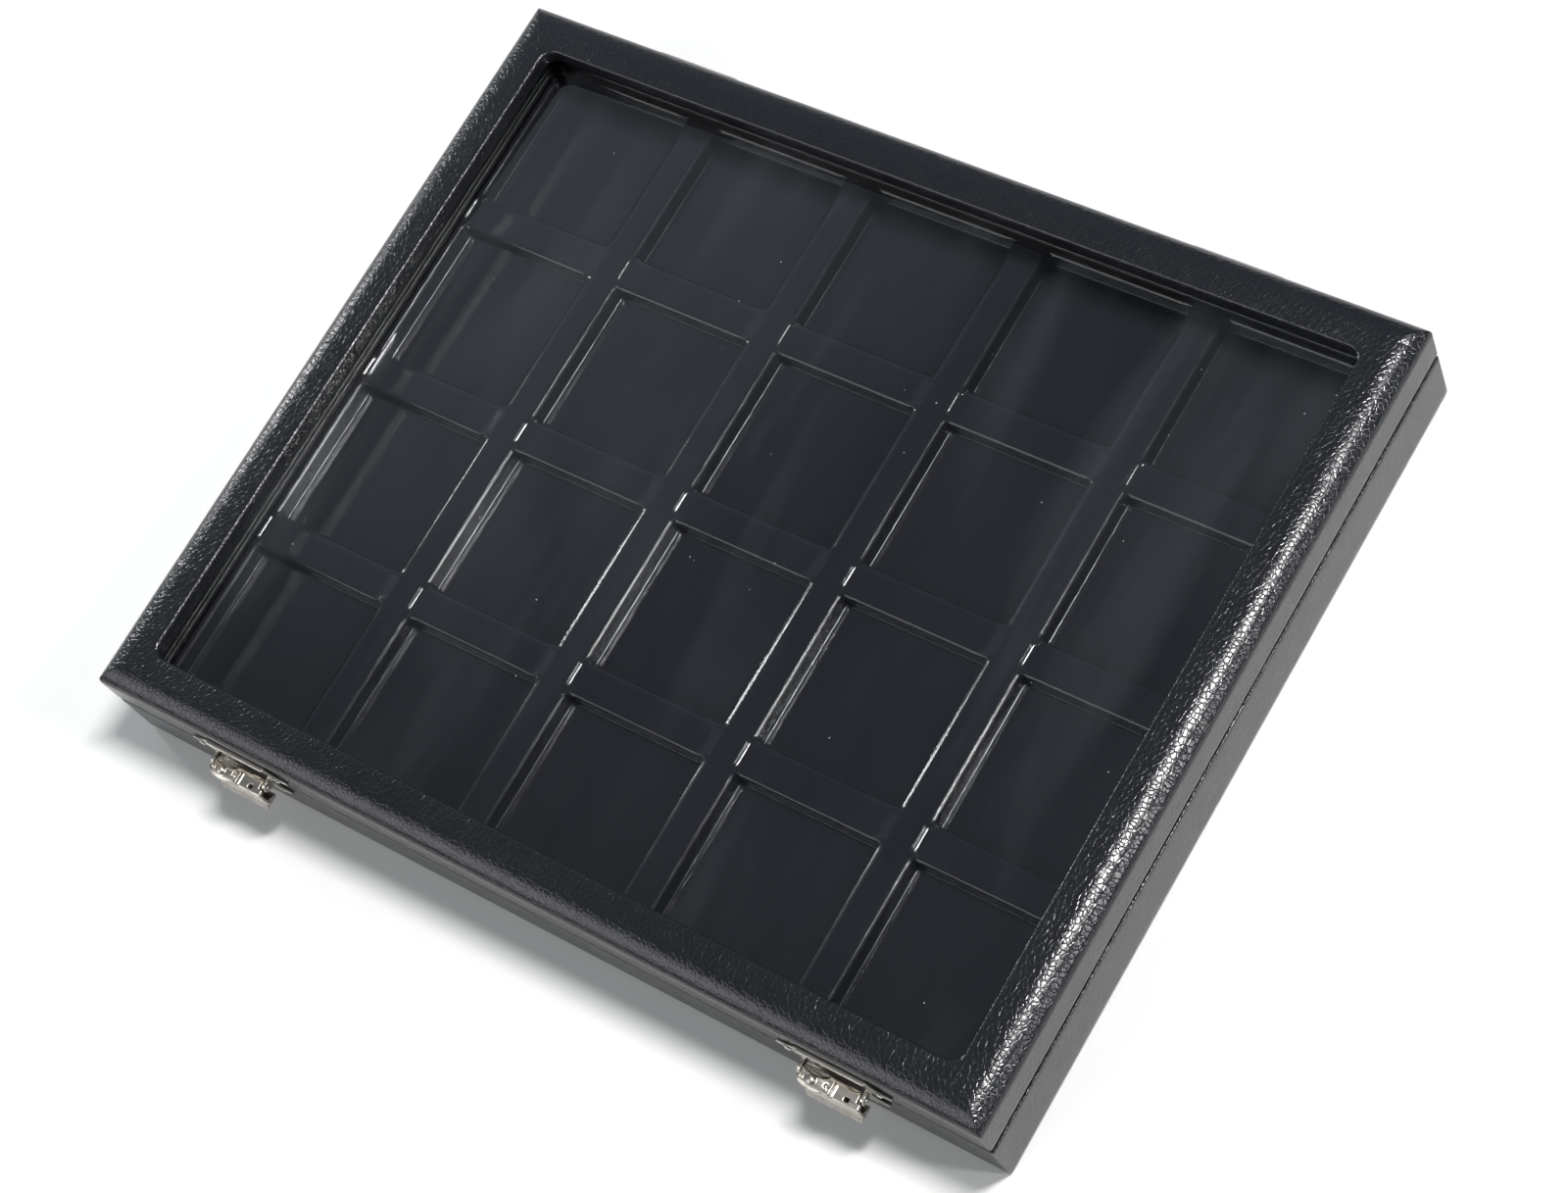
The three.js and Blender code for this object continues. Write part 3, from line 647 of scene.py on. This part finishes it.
def build_tray():
    """One formed sheet with a compartment for each pocket, closed by its sides and a flat underside."""
    low, high = box_mm("tray_floor")
    xs = axis_samples(COLUMN_SPANS, low.x, high.x, OTHER_SIDES, RIGHT_SIDE)
    ys = axis_samples(ROW_SPANS, low.y, high.y, OTHER_SIDES, OTHER_SIDES)
    across = [depth_into(x, COLUMN_SPANS) for x in xs]
    along = [depth_into(y, ROW_SPANS) for y in ys]
    points = []
    for y, row in zip(ys, along):
        for x, column in zip(xs, across):
            points.append((x, y, tray_height(x, y, column, row)))
    faces = grid_faces(len(xs), len(ys))
    rim = grid_rim(len(xs), len(ys))
    under = len(points)
    points += [(points[i][0], points[i][1], TRAY_UNDER) for i in rim]
    for k in range(len(rim)):
        after = (k + 1) % len(rim)
        faces.append((rim[k], rim[after], under + after, under + k))
    faces.append([under + k for k in range(len(rim))])
    mesh = mesh_from("tray_liner", points, faces)
    replaced = ["tray_floor"] + nodes_of("tray_edge") + LONG_DIVIDERS + CROSS_DIVIDERS
    new_piece("tray_liner", mesh, "tray", "base", replaced)


build_tray()


# ---- CAD shapes with their edges eased ----
EASED_ANGLE = math.radians(28) # edges sharper than this are rounded
CRISP_ANGLE = math.radians(40) # and edges still sharper than this are shaded as edges


def eased_copy(node, name, slot, width):
    """A copy of a CAD node's mesh with its sharp edges rounded, standing for that node."""
    mesh = frame["nodes"][node].data.copy()
    shape = bmesh.new()
    shape.from_mesh(mesh)
    bmesh.ops.remove_doubles(shape, verts=shape.verts, dist=0.002 * MM)
    bmesh.ops.dissolve_limit(shape, angle_limit=math.radians(2), verts=shape.verts, edges=shape.edges)
    sharp = [e for e in shape.edges if len(e.link_faces) == 2 and e.calc_face_angle() > EASED_ANGLE]
    rounding = {"offset": width * MM, "segments": 2, "profile": 0.5, "clamp_overlap": True}
    bmesh.ops.bevel(shape, geom=sharp, affect="EDGES", **rounding)
    bmesh.ops.recalc_face_normals(shape, faces=shape.faces)
    shape.to_mesh(mesh)
    shape.free()
    mesh.name = name
    new_piece(name, mesh, slot, frame["nodes"][node]["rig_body"], [node])
    mesh.set_sharp_from_angle(angle=CRISP_ANGLE)


STRIP_BEADS = 3


def beaded_strip(side):
    """A glazing strip with small beads along the face that shows through the window."""
    low, high = box_mm(f"glazing_strip_{side}")
    run, depth = (0, 1) if side in ("front", "back") else (1, 0)
    inner, outer = (high[depth], low[depth]) if high[depth] < 0 else (low[depth], high[depth])
    inwards = math.copysign(1, inner - outer)
    bead = (high.z - low.z) / STRIP_BEADS / 2
    root = inner - inwards * bead
    section = [(outer, low.z)]
    for k in range(STRIP_BEADS):
        bumped = arc(0, low.z + bead * (2 * k + 1), bead, -84, 84, 8)
        section += [(root + inwards * across, height) for across, height in bumped]
    section.append((outer, high.z))
    points = []
    for place in (low[run], high[run]):
        for across, height in section:
            points.append((place, across, height) if run == 0 else (across, place, height))
    count = len(section)
    faces = [(k, (k + 1) % count, count + (k + 1) % count, count + k) for k in range(count)]
    faces += [list(range(count)), list(range(count, 2 * count))]
    mesh = mesh_from(f"pane_strip_{side}", points, faces)
    new_piece(f"pane_strip_{side}", mesh, "strip", "lid", [f"glazing_strip_{side}"])
    mesh.set_sharp_from_angle(angle=CRISP_ANGLE)


for side in SIDES:
    beaded_strip(side)
eased_copy("window_pane", "clear_pane", "pane", 0.25)
eased_copy("bottom_panel", "bottom_board", "board", 0.3)

for end in ENDS:
    for part in ("base", "lid"):
        eased_copy(f"hinge_leaf_{part}_{end}", f"hinge_{part}_{end}", "nickel", 0.16)
    eased_copy(f"hinge_pin_{end}", f"hinge_rod_{end}", "steel", 0.2)
    eased_copy(f"clasp_pin_{end}", f"clasp_rod_{end}", "steel", 0.15)


# ---- stamped clasps ----
# Drawn from the middle of each clasp as (along the case, out from its face, height), in millimetres.
class Stamping:
    """Closed shapes that are fused into one stamped part, and others that are cut out of it."""

    def __init__(self, middle):
        self.middle = middle
        self.solid = bmesh.new()
        self.holes = bmesh.new()

    def shape(self, cut):
        return self.holes if cut else self.solid

    def prism(self, outline, start, end, place, cut=False):
        """An outline carried from start to end. place turns (a, b, run) into a point."""
        shape = self.shape(cut)
        rings = []
        for run in (start, end):
            rings.append([shape.verts.new(place(a, b, run)) for a, b in outline])
        shape.faces.new(rings[0])
        shape.faces.new(rings[1][::-1])
        for i in range(len(outline)):
            after = (i + 1) % len(outline)
            shape.faces.new((rings[0][i], rings[1][i], rings[1][after], rings[0][after]))

    def across(self, outline, start, end, cut=False):
        """An (out, height) outline carried along the case."""
        self.prism(outline, start, end, lambda out, height, x: (x, out, height), cut)

    def through(self, outline, start, end):
        """An (x, height) outline carried outwards."""
        self.prism(outline, start, end, lambda x, height, out: (x, out, height))

    def upright(self, outline, start, end, cut=False):
        """An (x, out) outline carried upwards."""
        self.prism(outline, start, end, lambda x, out, height: (x, out, height), cut)

    def block(self, xs, outs, heights, cut=False):
        outline = [(xs[0], outs[0]), (xs[1], outs[0]), (xs[1], outs[1]), (xs[0], outs[1])]
        self.upright(outline, heights[0], heights[1], cut)

    def rod(self, radius, start, end, cut=False):
        """A round bar along the clasp's axis."""
        self.across(arc(CLASP_OUT, CLASP_HEIGHT, radius, 0, 345, 23), start, end, cut)

    def ball(self, radii, centre, cut=False):
        matrix = Matrix.Translation(centre) @ Matrix.Diagonal((*radii, 1))
        bmesh.ops.create_uvsphere(self.shape(cut), u_segments=32, v_segments=20, radius=1, matrix=matrix)

    def fused(self, name):
        """One closed mesh with softened edges, in place on the case."""
        objects = []
        for shape in (self.solid, self.holes):
            bmesh.ops.recalc_face_normals(shape, faces=shape.faces)
            mesh = bpy.data.meshes.new(name)
            shape.to_mesh(mesh)
            shape.free()
            mesh.transform(Matrix.Diagonal((MM, -MM, MM, 1)))
            mesh.flip_normals()
            objects.append(bpy.data.objects.new(name, mesh))
            bpy.context.scene.collection.objects.link(objects[-1])
        solid, holes = objects
        join = solid.modifiers.new("join", "REMESH")
        join.mode = "VOXEL"
        join.voxel_size = VOXEL * MM
        if len(holes.data.vertices):
            cut = solid.modifiers.new("cut", "BOOLEAN")
            cut.operation = "DIFFERENCE"
            cut.solver = "EXACT"
            cut.use_self = True
            cut.object = holes
            settle = solid.modifiers.new("settle", "REMESH")
            settle.mode = "VOXEL"
            settle.voxel_size = VOXEL * MM
        ease = solid.modifiers.new("ease", "SMOOTH")
        ease.factor = 0.5
        ease.iterations = 3
        bpy.context.view_layer.update()
        done = bpy.data.meshes.new_from_object(solid.evaluated_get(bpy.context.evaluated_depsgraph_get()))
        done.transform(Matrix.Translation((self.middle * MM, -HALF_Y * MM, 0)))
        done.name = name
        for item in objects:
            bpy.data.objects.remove(item)
        return done


NAIL = {"head": 1.2, "rise": 0.55, "shank": 0.5, "length": 4, "sheet": 0.9}
SCREW = {"head": 1.6, "rise": 0.7, "shank": 0.8, "length": 5, "sheet": 1.0}
VOXEL = 0.14 # grain of the remesh that fuses a stamping
CLASP_OUT = -HALF_Y - (box_mm("clasp_pin_left")[0].y + box_mm("clasp_pin_left")[1].y) / 2
CLASP_HEIGHT = (box_mm("clasp_pin_left")[0].z + box_mm("clasp_pin_left")[1].z) / 2
CLASP_BARREL = 1.6 # radius of the rolled knuckles
CLASP_BORE = 0.68
PLATE_OUTS = (0.05, 0.85) # back and front of the plates' sheet
LID_PLATE_HALF = 18
STRIKE_HALF = 14
EAR = (9.2, 10.4) # the lid plate's knuckles, either side of the flap's
EAR_GAP = 0.25
FLAP_HALF = 10.3
FLAP_LOW = box_mm("clasp_tongue_left")[0].z
FLAP_OUT = -HALF_Y - box_mm("clasp_tongue_left")[0].y # the finger edge
FLAP_TOP = CLASP_HEIGHT + CLASP_BARREL
FLAP_FRONT = FLAP_OUT - 0.9
FLAP_MID = FLAP_FRONT - 1.9 # the middle of the flap's top
FLAP_CURVE = 14.4 # radius of its slightly bowed front
SHELF_UNDER = 22.9 # underside of the flap's top
SHELF_CORNER = 0.35
LIP_IN = 3.1 # how near the lip comes to the case
RIVET_X = -4.9
RIVET_OUT = FLAP_MID + 0.1
RIVET_RADIUS = 1.45
RIVET_HOLE = 1.75
SEAM = (1.1, 1.55) # a joint across the flap's top and front
# cuts run on to here, past the flap's ends, its front and its top
PAST_END = 12
PAST_FRONT = 9
PAST_TOP = FLAP_TOP + 1


def curve(start, control, end, steps):
    """Points of a quadratic curve after its start."""
    points = []
    for share in spread(0, 1, steps):
        rest = 1 - share
        weights = (rest * rest, 2 * rest * share, share * share)
        a, b = (sum(w * p for w, p in zip(weights, places)) for places in zip(start, control, end))
        points.append((a, b))
    return points


def pointed_outline(half, low, high):
    """A plate's outline: a wide middle and two ends drawn out to blunt points at mid height."""
    middle = (low + high) / 2
    shoulder = 0.62 * half
    waist = 0.76 * half
    tip = 0.5
    corners = (
        ((shoulder, low), (waist, middle - 2 * tip), (half, middle - tip)),
        ((half, middle + tip), (waist, middle + 2 * tip), (shoulder, high)),
        ((-shoulder, high), (-waist, middle + 2 * tip), (-half, middle + tip)),
        ((-half, middle - tip), (-waist, middle - 2 * tip), (-shoulder, low)),
    )
    points = []
    for start, control, end in corners:
        points.append(start)
        points += curve(start, control, end, 6)
    return points


def build_lid_plate(end, middle):
    """The pointed plate on the lid, with a curl along its top and a knuckle at each end of the flap."""
    top = box_mm(f"clasp_plate_{end}")[1].z
    nail_height = box_mm(f"clasp_nail_{end}_inner")[0].z + NAIL["head"]
    part = Stamping(middle)
    part.through(pointed_outline(LID_PLATE_HALF, 2 * nail_height - top, top), *PLATE_OUTS)
    curl = [(0.5, top - 1.1), (1.35, top - 0.6), (1.45, top - 0.1), (0.5, top)]
    part.across(curl, -10.6, 10.6)
    # the flap's rivet drops into this hole when the flap is up
    hole_height = CLASP_HEIGHT + RIVET_OUT - CLASP_OUT
    part.ball((RIVET_HOLE, 1.6, RIVET_HOLE), (RIVET_X, 0.4, hole_height), cut=True)
    for side in (-1, 1):
        ends = sorted((side * EAR[0], side * EAR[1]))
        part.rod(CLASP_BARREL, *ends)
        part.block(ends, (0.3, CLASP_OUT), (CLASP_HEIGHT - 0.4, FLAP_TOP))
    mesh = part.fused(f"clasp_lid_plate_{end}")
    new_piece(f"clasp_lid_plate_{end}", mesh, "nickel", "lid", [f"clasp_plate_{end}"])


def add_flap_sheet(part):
    """The flap's knuckle, its flat top, its bowed front and the lip that catches and is lifted."""
    part.rod(CLASP_BARREL, -EAR[0] + EAR_GAP, EAR[0] - EAR_GAP)
    shelf = [
        (CLASP_OUT, SHELF_UNDER),
        (FLAP_FRONT, SHELF_UNDER),
        (FLAP_FRONT, FLAP_TOP - SHELF_CORNER),
        (FLAP_FRONT - SHELF_CORNER, FLAP_TOP),
        (CLASP_OUT, FLAP_TOP),
    ]
    part.across(shelf, -FLAP_HALF + 0.6, FLAP_HALF)
    face = arc(FLAP_FRONT - FLAP_CURVE, 20.0, FLAP_CURVE, -13, 13, 6)
    part.across(face + [(FLAP_FRONT - 1.0, 23.4), (FLAP_FRONT - 1.15, 16.9)], -FLAP_HALF, FLAP_HALF)
    lip = [
        (FLAP_FRONT - 1.1, FLAP_LOW + 2.7),
        (LIP_IN, FLAP_LOW + 1.2),
        (LIP_IN, FLAP_LOW + 0.5),
        (LIP_IN + 0.5, FLAP_LOW),
        (FLAP_OUT - 0.1, FLAP_LOW),
        (FLAP_OUT, FLAP_LOW + 0.5),
        (FLAP_FRONT - 0.1, FLAP_LOW + 1.6),
    ]
    part.across(lip, -FLAP_HALF + 0.8, FLAP_HALF - 0.8)


def add_flap_details(part):
    """A dome with a rivet on it, and a raised rib beside the seam."""
    part.ball((5.6, 2.6, 1.0), (-4.4, FLAP_MID, FLAP_TOP - 0.45))
    part.ball((RIVET_RADIUS, RIVET_RADIUS, 1.2), (RIVET_X, RIVET_OUT, FLAP_TOP + 0.25))
    part.block((1.7, 2.2), (CLASP_OUT, FLAP_FRONT + 0.05), (23.2, FLAP_TOP + 0.22))


def cut_flap(part):
    """The hollows behind the top, its holes, the seam, the clipped corners, the bore and the ears' gaps."""
    part.ball((4.8, 1.6, 1.7), (-5.0, CLASP_OUT - 0.9, FLAP_TOP + 0.5), cut=True)
    part.ball((2.3, 0.8, 0.9), (6.4, CLASP_OUT - 1.1, FLAP_TOP + 0.25), cut=True)
    part.ball((0.7, 0.8, 0.8), (-7.6, FLAP_MID, FLAP_TOP + 0.25), cut=True)
    part.block((-1.1, 0.4), (FLAP_MID - 0.9, FLAP_MID + 0.2), (FLAP_TOP - 0.9, PAST_TOP), cut=True)
    part.block(SEAM, (CLASP_OUT - 0.4, PAST_FRONT), (FLAP_TOP - 0.7, PAST_TOP), cut=True)
    part.block(SEAM, (FLAP_FRONT - 0.35, PAST_FRONT), (FLAP_LOW + 1.9, PAST_TOP), cut=True)
    part.block((5.4, 6.9), (FLAP_MID - 0.4, FLAP_MID + 0.9), (22.4, PAST_TOP), cut=True)
    left_corner = [(-11, PAST_FRONT), (-11, 4.0), (-6.6, PAST_FRONT)]
    right_corner = [(11, PAST_FRONT), (11, 6.2), (9.0, PAST_FRONT)]
    for corner in (left_corner, right_corner):
        part.upright(corner, FLAP_LOW - 1, PAST_TOP, cut=True)
    part.rod(CLASP_BORE, -PAST_END, PAST_END, cut=True)
    reach = CLASP_BARREL + EAR_GAP
    outs = (CLASP_OUT - reach, CLASP_OUT + reach)
    heights = (CLASP_HEIGHT - CLASP_BARREL, PAST_TOP)
    for ends in ((-PAST_END, EAR_GAP - EAR[0]), (EAR[0] - EAR_GAP, PAST_END)):
        part.block(ends, outs, heights, cut=True)


def build_flap(end, middle):
    part = Stamping(middle)
    add_flap_sheet(part)
    add_flap_details(part)
    cut_flap(part)
    mesh = part.fused(f"clasp_flap_{end}")
    new_piece(f"clasp_flap_{end}", mesh, "nickel", f"clasp_{end}", [f"clasp_tongue_{end}"])


def build_strike(end, middle):
    """The pointed plate on the base, with a bead that the flap's lip snaps under."""
    low, high = box_mm(f"strike_plate_{end}")
    part = Stamping(middle)
    part.through(pointed_outline(STRIKE_HALF, low.z, high.z), *PLATE_OUTS)
    bead = [(0.3, high.z - 2.2)] + arc(1.75, high.z - 1.2, 0.95, -90, 90, 8) + [(0.3, high.z - 0.2)]
    part.across(bead, -8.5, 8.5)
    mesh = part.fused(f"clasp_strike_{end}")
    new_piece(f"clasp_strike_{end}", mesh, "nickel", "base", [f"strike_plate_{end}"])


# ---- turned fasteners ----
def turned(profile, steps=36):
    """A mesh turned about Z from (radius, height) points that start and end on the axis, in millimetres."""
    points = [(0, 0, profile[0][1])]
    for radius, height in profile[1:-1]:
        points += [(x, y, height) for x, y in arc(0, 0, radius, 0, 360 - 360 / steps, steps - 1)]
    points.append((0, 0, profile[-1][1]))
    rings = len(profile) - 2
    last = len(points) - 1
    faces = []
    for k in range(steps):
        after = (k + 1) % steps
        faces.append((0, 1 + after, 1 + k))
        for ring in range(rings - 1):
            row = 1 + ring * steps
            faces.append((row + k, row + after, row + steps + after, row + steps + k))
        top = 1 + (rings - 1) * steps
        faces.append((top + k, top + after, last))
    return points, faces


def head_profile(head, rise, shank, length, sheet):
    """A domed head with a small flat brim, standing on a sheet, over a shank that ends in the board."""
    brim = 0.12
    profile = [(0, -length), (shank, -length), (shank, sheet), (head - 0.08, sheet), (head, sheet + brim)]
    profile += [(head * math.cos(a), sheet + brim + (rise - brim) * math.sin(a)) for a in spread(0, 1.5, 18)]
    return profile + [(0, sheet + rise)]


def build_fastener(node, name, spec, facing, slot_lean=None):
    """A nail or screw in the front (-1) or back (+1) face, in the CAD fastener's place."""
    low, high = box_mm(node)
    profile = head_profile(**spec)
    if slot_lean is None:
        points, faces = turned(profile)
    else:
        points, faces = slotted_head(profile, spec["sheet"], slot_lean)
    centre = ((low.x + high.x) / 2, facing * HALF_Y, (low.z + high.z) / 2)
    placed = [(centre[0] + x, centre[1] + facing * z, centre[2] + y) for x, y, z in points]
    mesh = mesh_from(name, placed, faces)
    new_piece(name, mesh, "steel", frame["nodes"][node]["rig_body"], [node])
    mesh.set_sharp_from_angle(angle=CRISP_ANGLE)


def slotted_head(profile, sheet, lean):
    """The same head with a driver slot pressed across it."""
    points, faces = turned(profile, 72)
    half = 0.24
    slot_floor = sheet + 0.18
    turn = math.radians(lean)
    pressed = []
    for x, y, z in points:
        side = abs(x * math.cos(turn) + y * math.sin(turn))
        pressed.append((x, y, slot_floor if side < half and z > slot_floor else z))
    return pressed, faces


for index, end in enumerate(ENDS):
    clasp_low, clasp_high = box_mm(f"clasp_pin_{end}")
    clasp_middle = (clasp_low.x + clasp_high.x) / 2
    build_lid_plate(end, clasp_middle)
    build_flap(end, clasp_middle)
    build_strike(end, clasp_middle)
    build_fastener(f"strike_rivet_{end}", f"strike_stud_{end}", NAIL, -1)
    for number, place in enumerate(("outer", "inner")):
        build_fastener(f"clasp_nail_{end}_{place}", f"clasp_tack_{end}_{place}", NAIL, -1)
        for part in ("base", "lid"):
            # each slot is left at its own angle
            lean = 25 + 47 * index + 31 * number + (70 if part == "lid" else 0)
            name = f"hinge_screw_{part}_{end}_{place}"
            build_fastener(name, f"slotted_{name}", SCREW, 1, lean)


# ---- felt and foam ----
def build_felt():
    """Thin felt under the case, its surface slightly uneven and its edge soft."""
    low, high = box_mm("base_felt")
    columns = 120
    rows = 96
    unevenness = 0.06
    edge_lift = 0.2
    glue = 0.02
    top = []
    under = []
    for y in [low.y] + spread(low.y, high.y, rows):
        for x in [low.x] + spread(low.x, high.x, columns):
            edge = min(x - low.x, high.x - x, y - low.y, high.y - y)
            lift = unevenness * (1 + noise.noise(Vector((x, y, 0)) / 5)) + edge_lift * math.exp(-edge / 0.5)
            top.append((x, y, high.z - glue))
            under.append((x, y, low.z + lift))
    count = len(top)
    faces = grid_faces(columns + 1, rows + 1) + grid_faces(columns + 1, rows + 1, count)
    rim = grid_rim(columns + 1, rows + 1)
    for k, start in enumerate(rim):
        after = rim[(k + 1) % len(rim)]
        faces.append((start, count + start, count + after, after))
    mesh = mesh_from("felt_sheet", top + under, faces)
    felt = new_piece("felt_sheet", mesh, "felt", "base", ["base_felt"])


def build_foam():
    """The pad that holds the tray up: a soft block whose sides bow in a little between its faces."""
    low, high = box_mm("foam_pad")
    centre = (low + high) / 2
    half = (high - low) / 2
    rows = 12
    clearance = 0.1
    bow = 0.5
    edge_pinch = 0.35
    height_share = 0.995
    points = []
    for j in range(rows + 1):
        level = 2 * j / rows - 1
        inset = clearance + bow * (1 - level * level) + (edge_pinch if j in (0, rows) else 0)
        for x, y in rounded_loop(half.x - inset, half.y - inset, 2.0, 6, (60, 60)):
            points.append((centre.x + x, centre.y + y, centre.z + half.z * level * height_share))
    around = len(points) // (rows + 1)
    faces = []
    for j in range(rows):
        below = j * around
        above = below + around
        for k in range(around):
            after = (k + 1) % around
            faces.append((below + k, below + after, above + after, above + k))
    faces.append(list(range(around)))
    faces.append([rows * around + k for k in range(around)])
    mesh = mesh_from("foam_block", points, faces)
    pad = new_piece("foam_block", mesh, "foam", "base", ["foam_pad"])


build_felt()
build_foam()


# ---- the camera, the floor and the lights ----
def add_camera():
    """The photo's view: from the case's right, steeply down and rolled."""
    camera = bpy.data.objects.new("camera", bpy.data.cameras.new("camera"))
    camera.data.lens = 76.45
    camera.data.sensor_width = 36
    camera.location = (0.4377, -0.2262, 0.8108)
    camera.rotation_euler = [math.radians(angle) for angle in (25.8997, 17.1395, 31.6982)]
    bpy.context.scene.collection.objects.link(camera)
    bpy.context.scene.camera = camera


def add_floor():
    half = 4.0
    corners = [(-half, -half, 0), (half, -half, 0), (half, half, 0), (-half, half, 0)]
    mesh = bpy.data.meshes.new("floor")
    mesh.from_pydata(corners, [], [(0, 1, 2, 3)])
    look = Look("pale_floor")
    look.surface(Base_Color=(0.76, 0.76, 0.75, 1), Roughness=0.8)
    mesh.materials.append(look.material)
    floor = bpy.data.objects.new("floor", mesh)
    bpy.context.scene.collection.objects.link(floor)


def add_softbox(name, place, target, wide, high, glow, lean=0.0):
    """An area light facing target whose face glows at the given radiance, its top leaning sideways."""
    data = bpy.data.lights.new(name, "AREA")
    data.shape = "RECTANGLE"
    data.size = wide
    data.size_y = high
    data.energy = glow * math.pi * wide * high
    light = bpy.data.objects.new(name, data)
    light.location = place
    facing = (Vector(target) - light.location).to_track_quat("-Z", "Y")
    turn = facing.to_matrix() @ Matrix.Rotation(math.radians(lean), 3, "Z")
    light.rotation_euler = turn.to_euler()
    bpy.context.scene.collection.objects.link(light)


SKY_SIDE = (-0.80, 0.45, 0.40) # the room is a little brighter over the case's far left corner
SKY_FADE = (0.80, 0.95) # the brightening starts and ends at these cosines from that side
DIM = 0.12
BRIGHT = 0.40


def add_world():
    world = bpy.data.worlds.new("studio")
    world.use_nodes = True
    tree = world.node_tree
    background = tree.nodes["Background"]
    background.inputs["Color"].default_value = (0.78, 0.88, 1.0, 1)
    towards = tree.nodes.new("ShaderNodeVectorMath")
    towards.operation = "DOT_PRODUCT"
    towards.inputs[1].default_value = Vector(SKY_SIDE).normalized()
    tree.links.new(tree.nodes.new("ShaderNodeTexCoord").outputs["Generated"], towards.inputs[0])
    fall = tree.nodes.new("ShaderNodeMapRange")
    fall.interpolation_type = "SMOOTHSTEP"
    for socket, value in zip(("From Min", "From Max", "To Min", "To Max"), (*SKY_FADE, DIM, BRIGHT)):
        fall.inputs[socket].default_value = value
    tree.links.new(towards.outputs["Value"], fall.inputs["Value"])
    tree.links.new(fall.outputs["Result"], background.inputs["Strength"])
    bpy.context.scene.world = world


add_camera()
add_floor()
add_world()
add_softbox("key", (0.44, 0.36, 1.5), (0, 0, 0), 0.15, 0.5, 116)
add_softbox("left_strip", (-1.25, 0.25, 0.48), (0, -0.03, 0.02), 0.07, 0.56, 28, 15)
add_softbox("right_strip", (1.25, 0.28, 0.80), (0, -0.03, 0.02), 0.10, 0.75, 25, -7)
add_softbox("front_fill", (-1.2, -1.9, 1.6), (0, 0, 0), 2.4, 1.8, 2.4)
bpy.context.scene.view_settings.view_transform = "Standard"
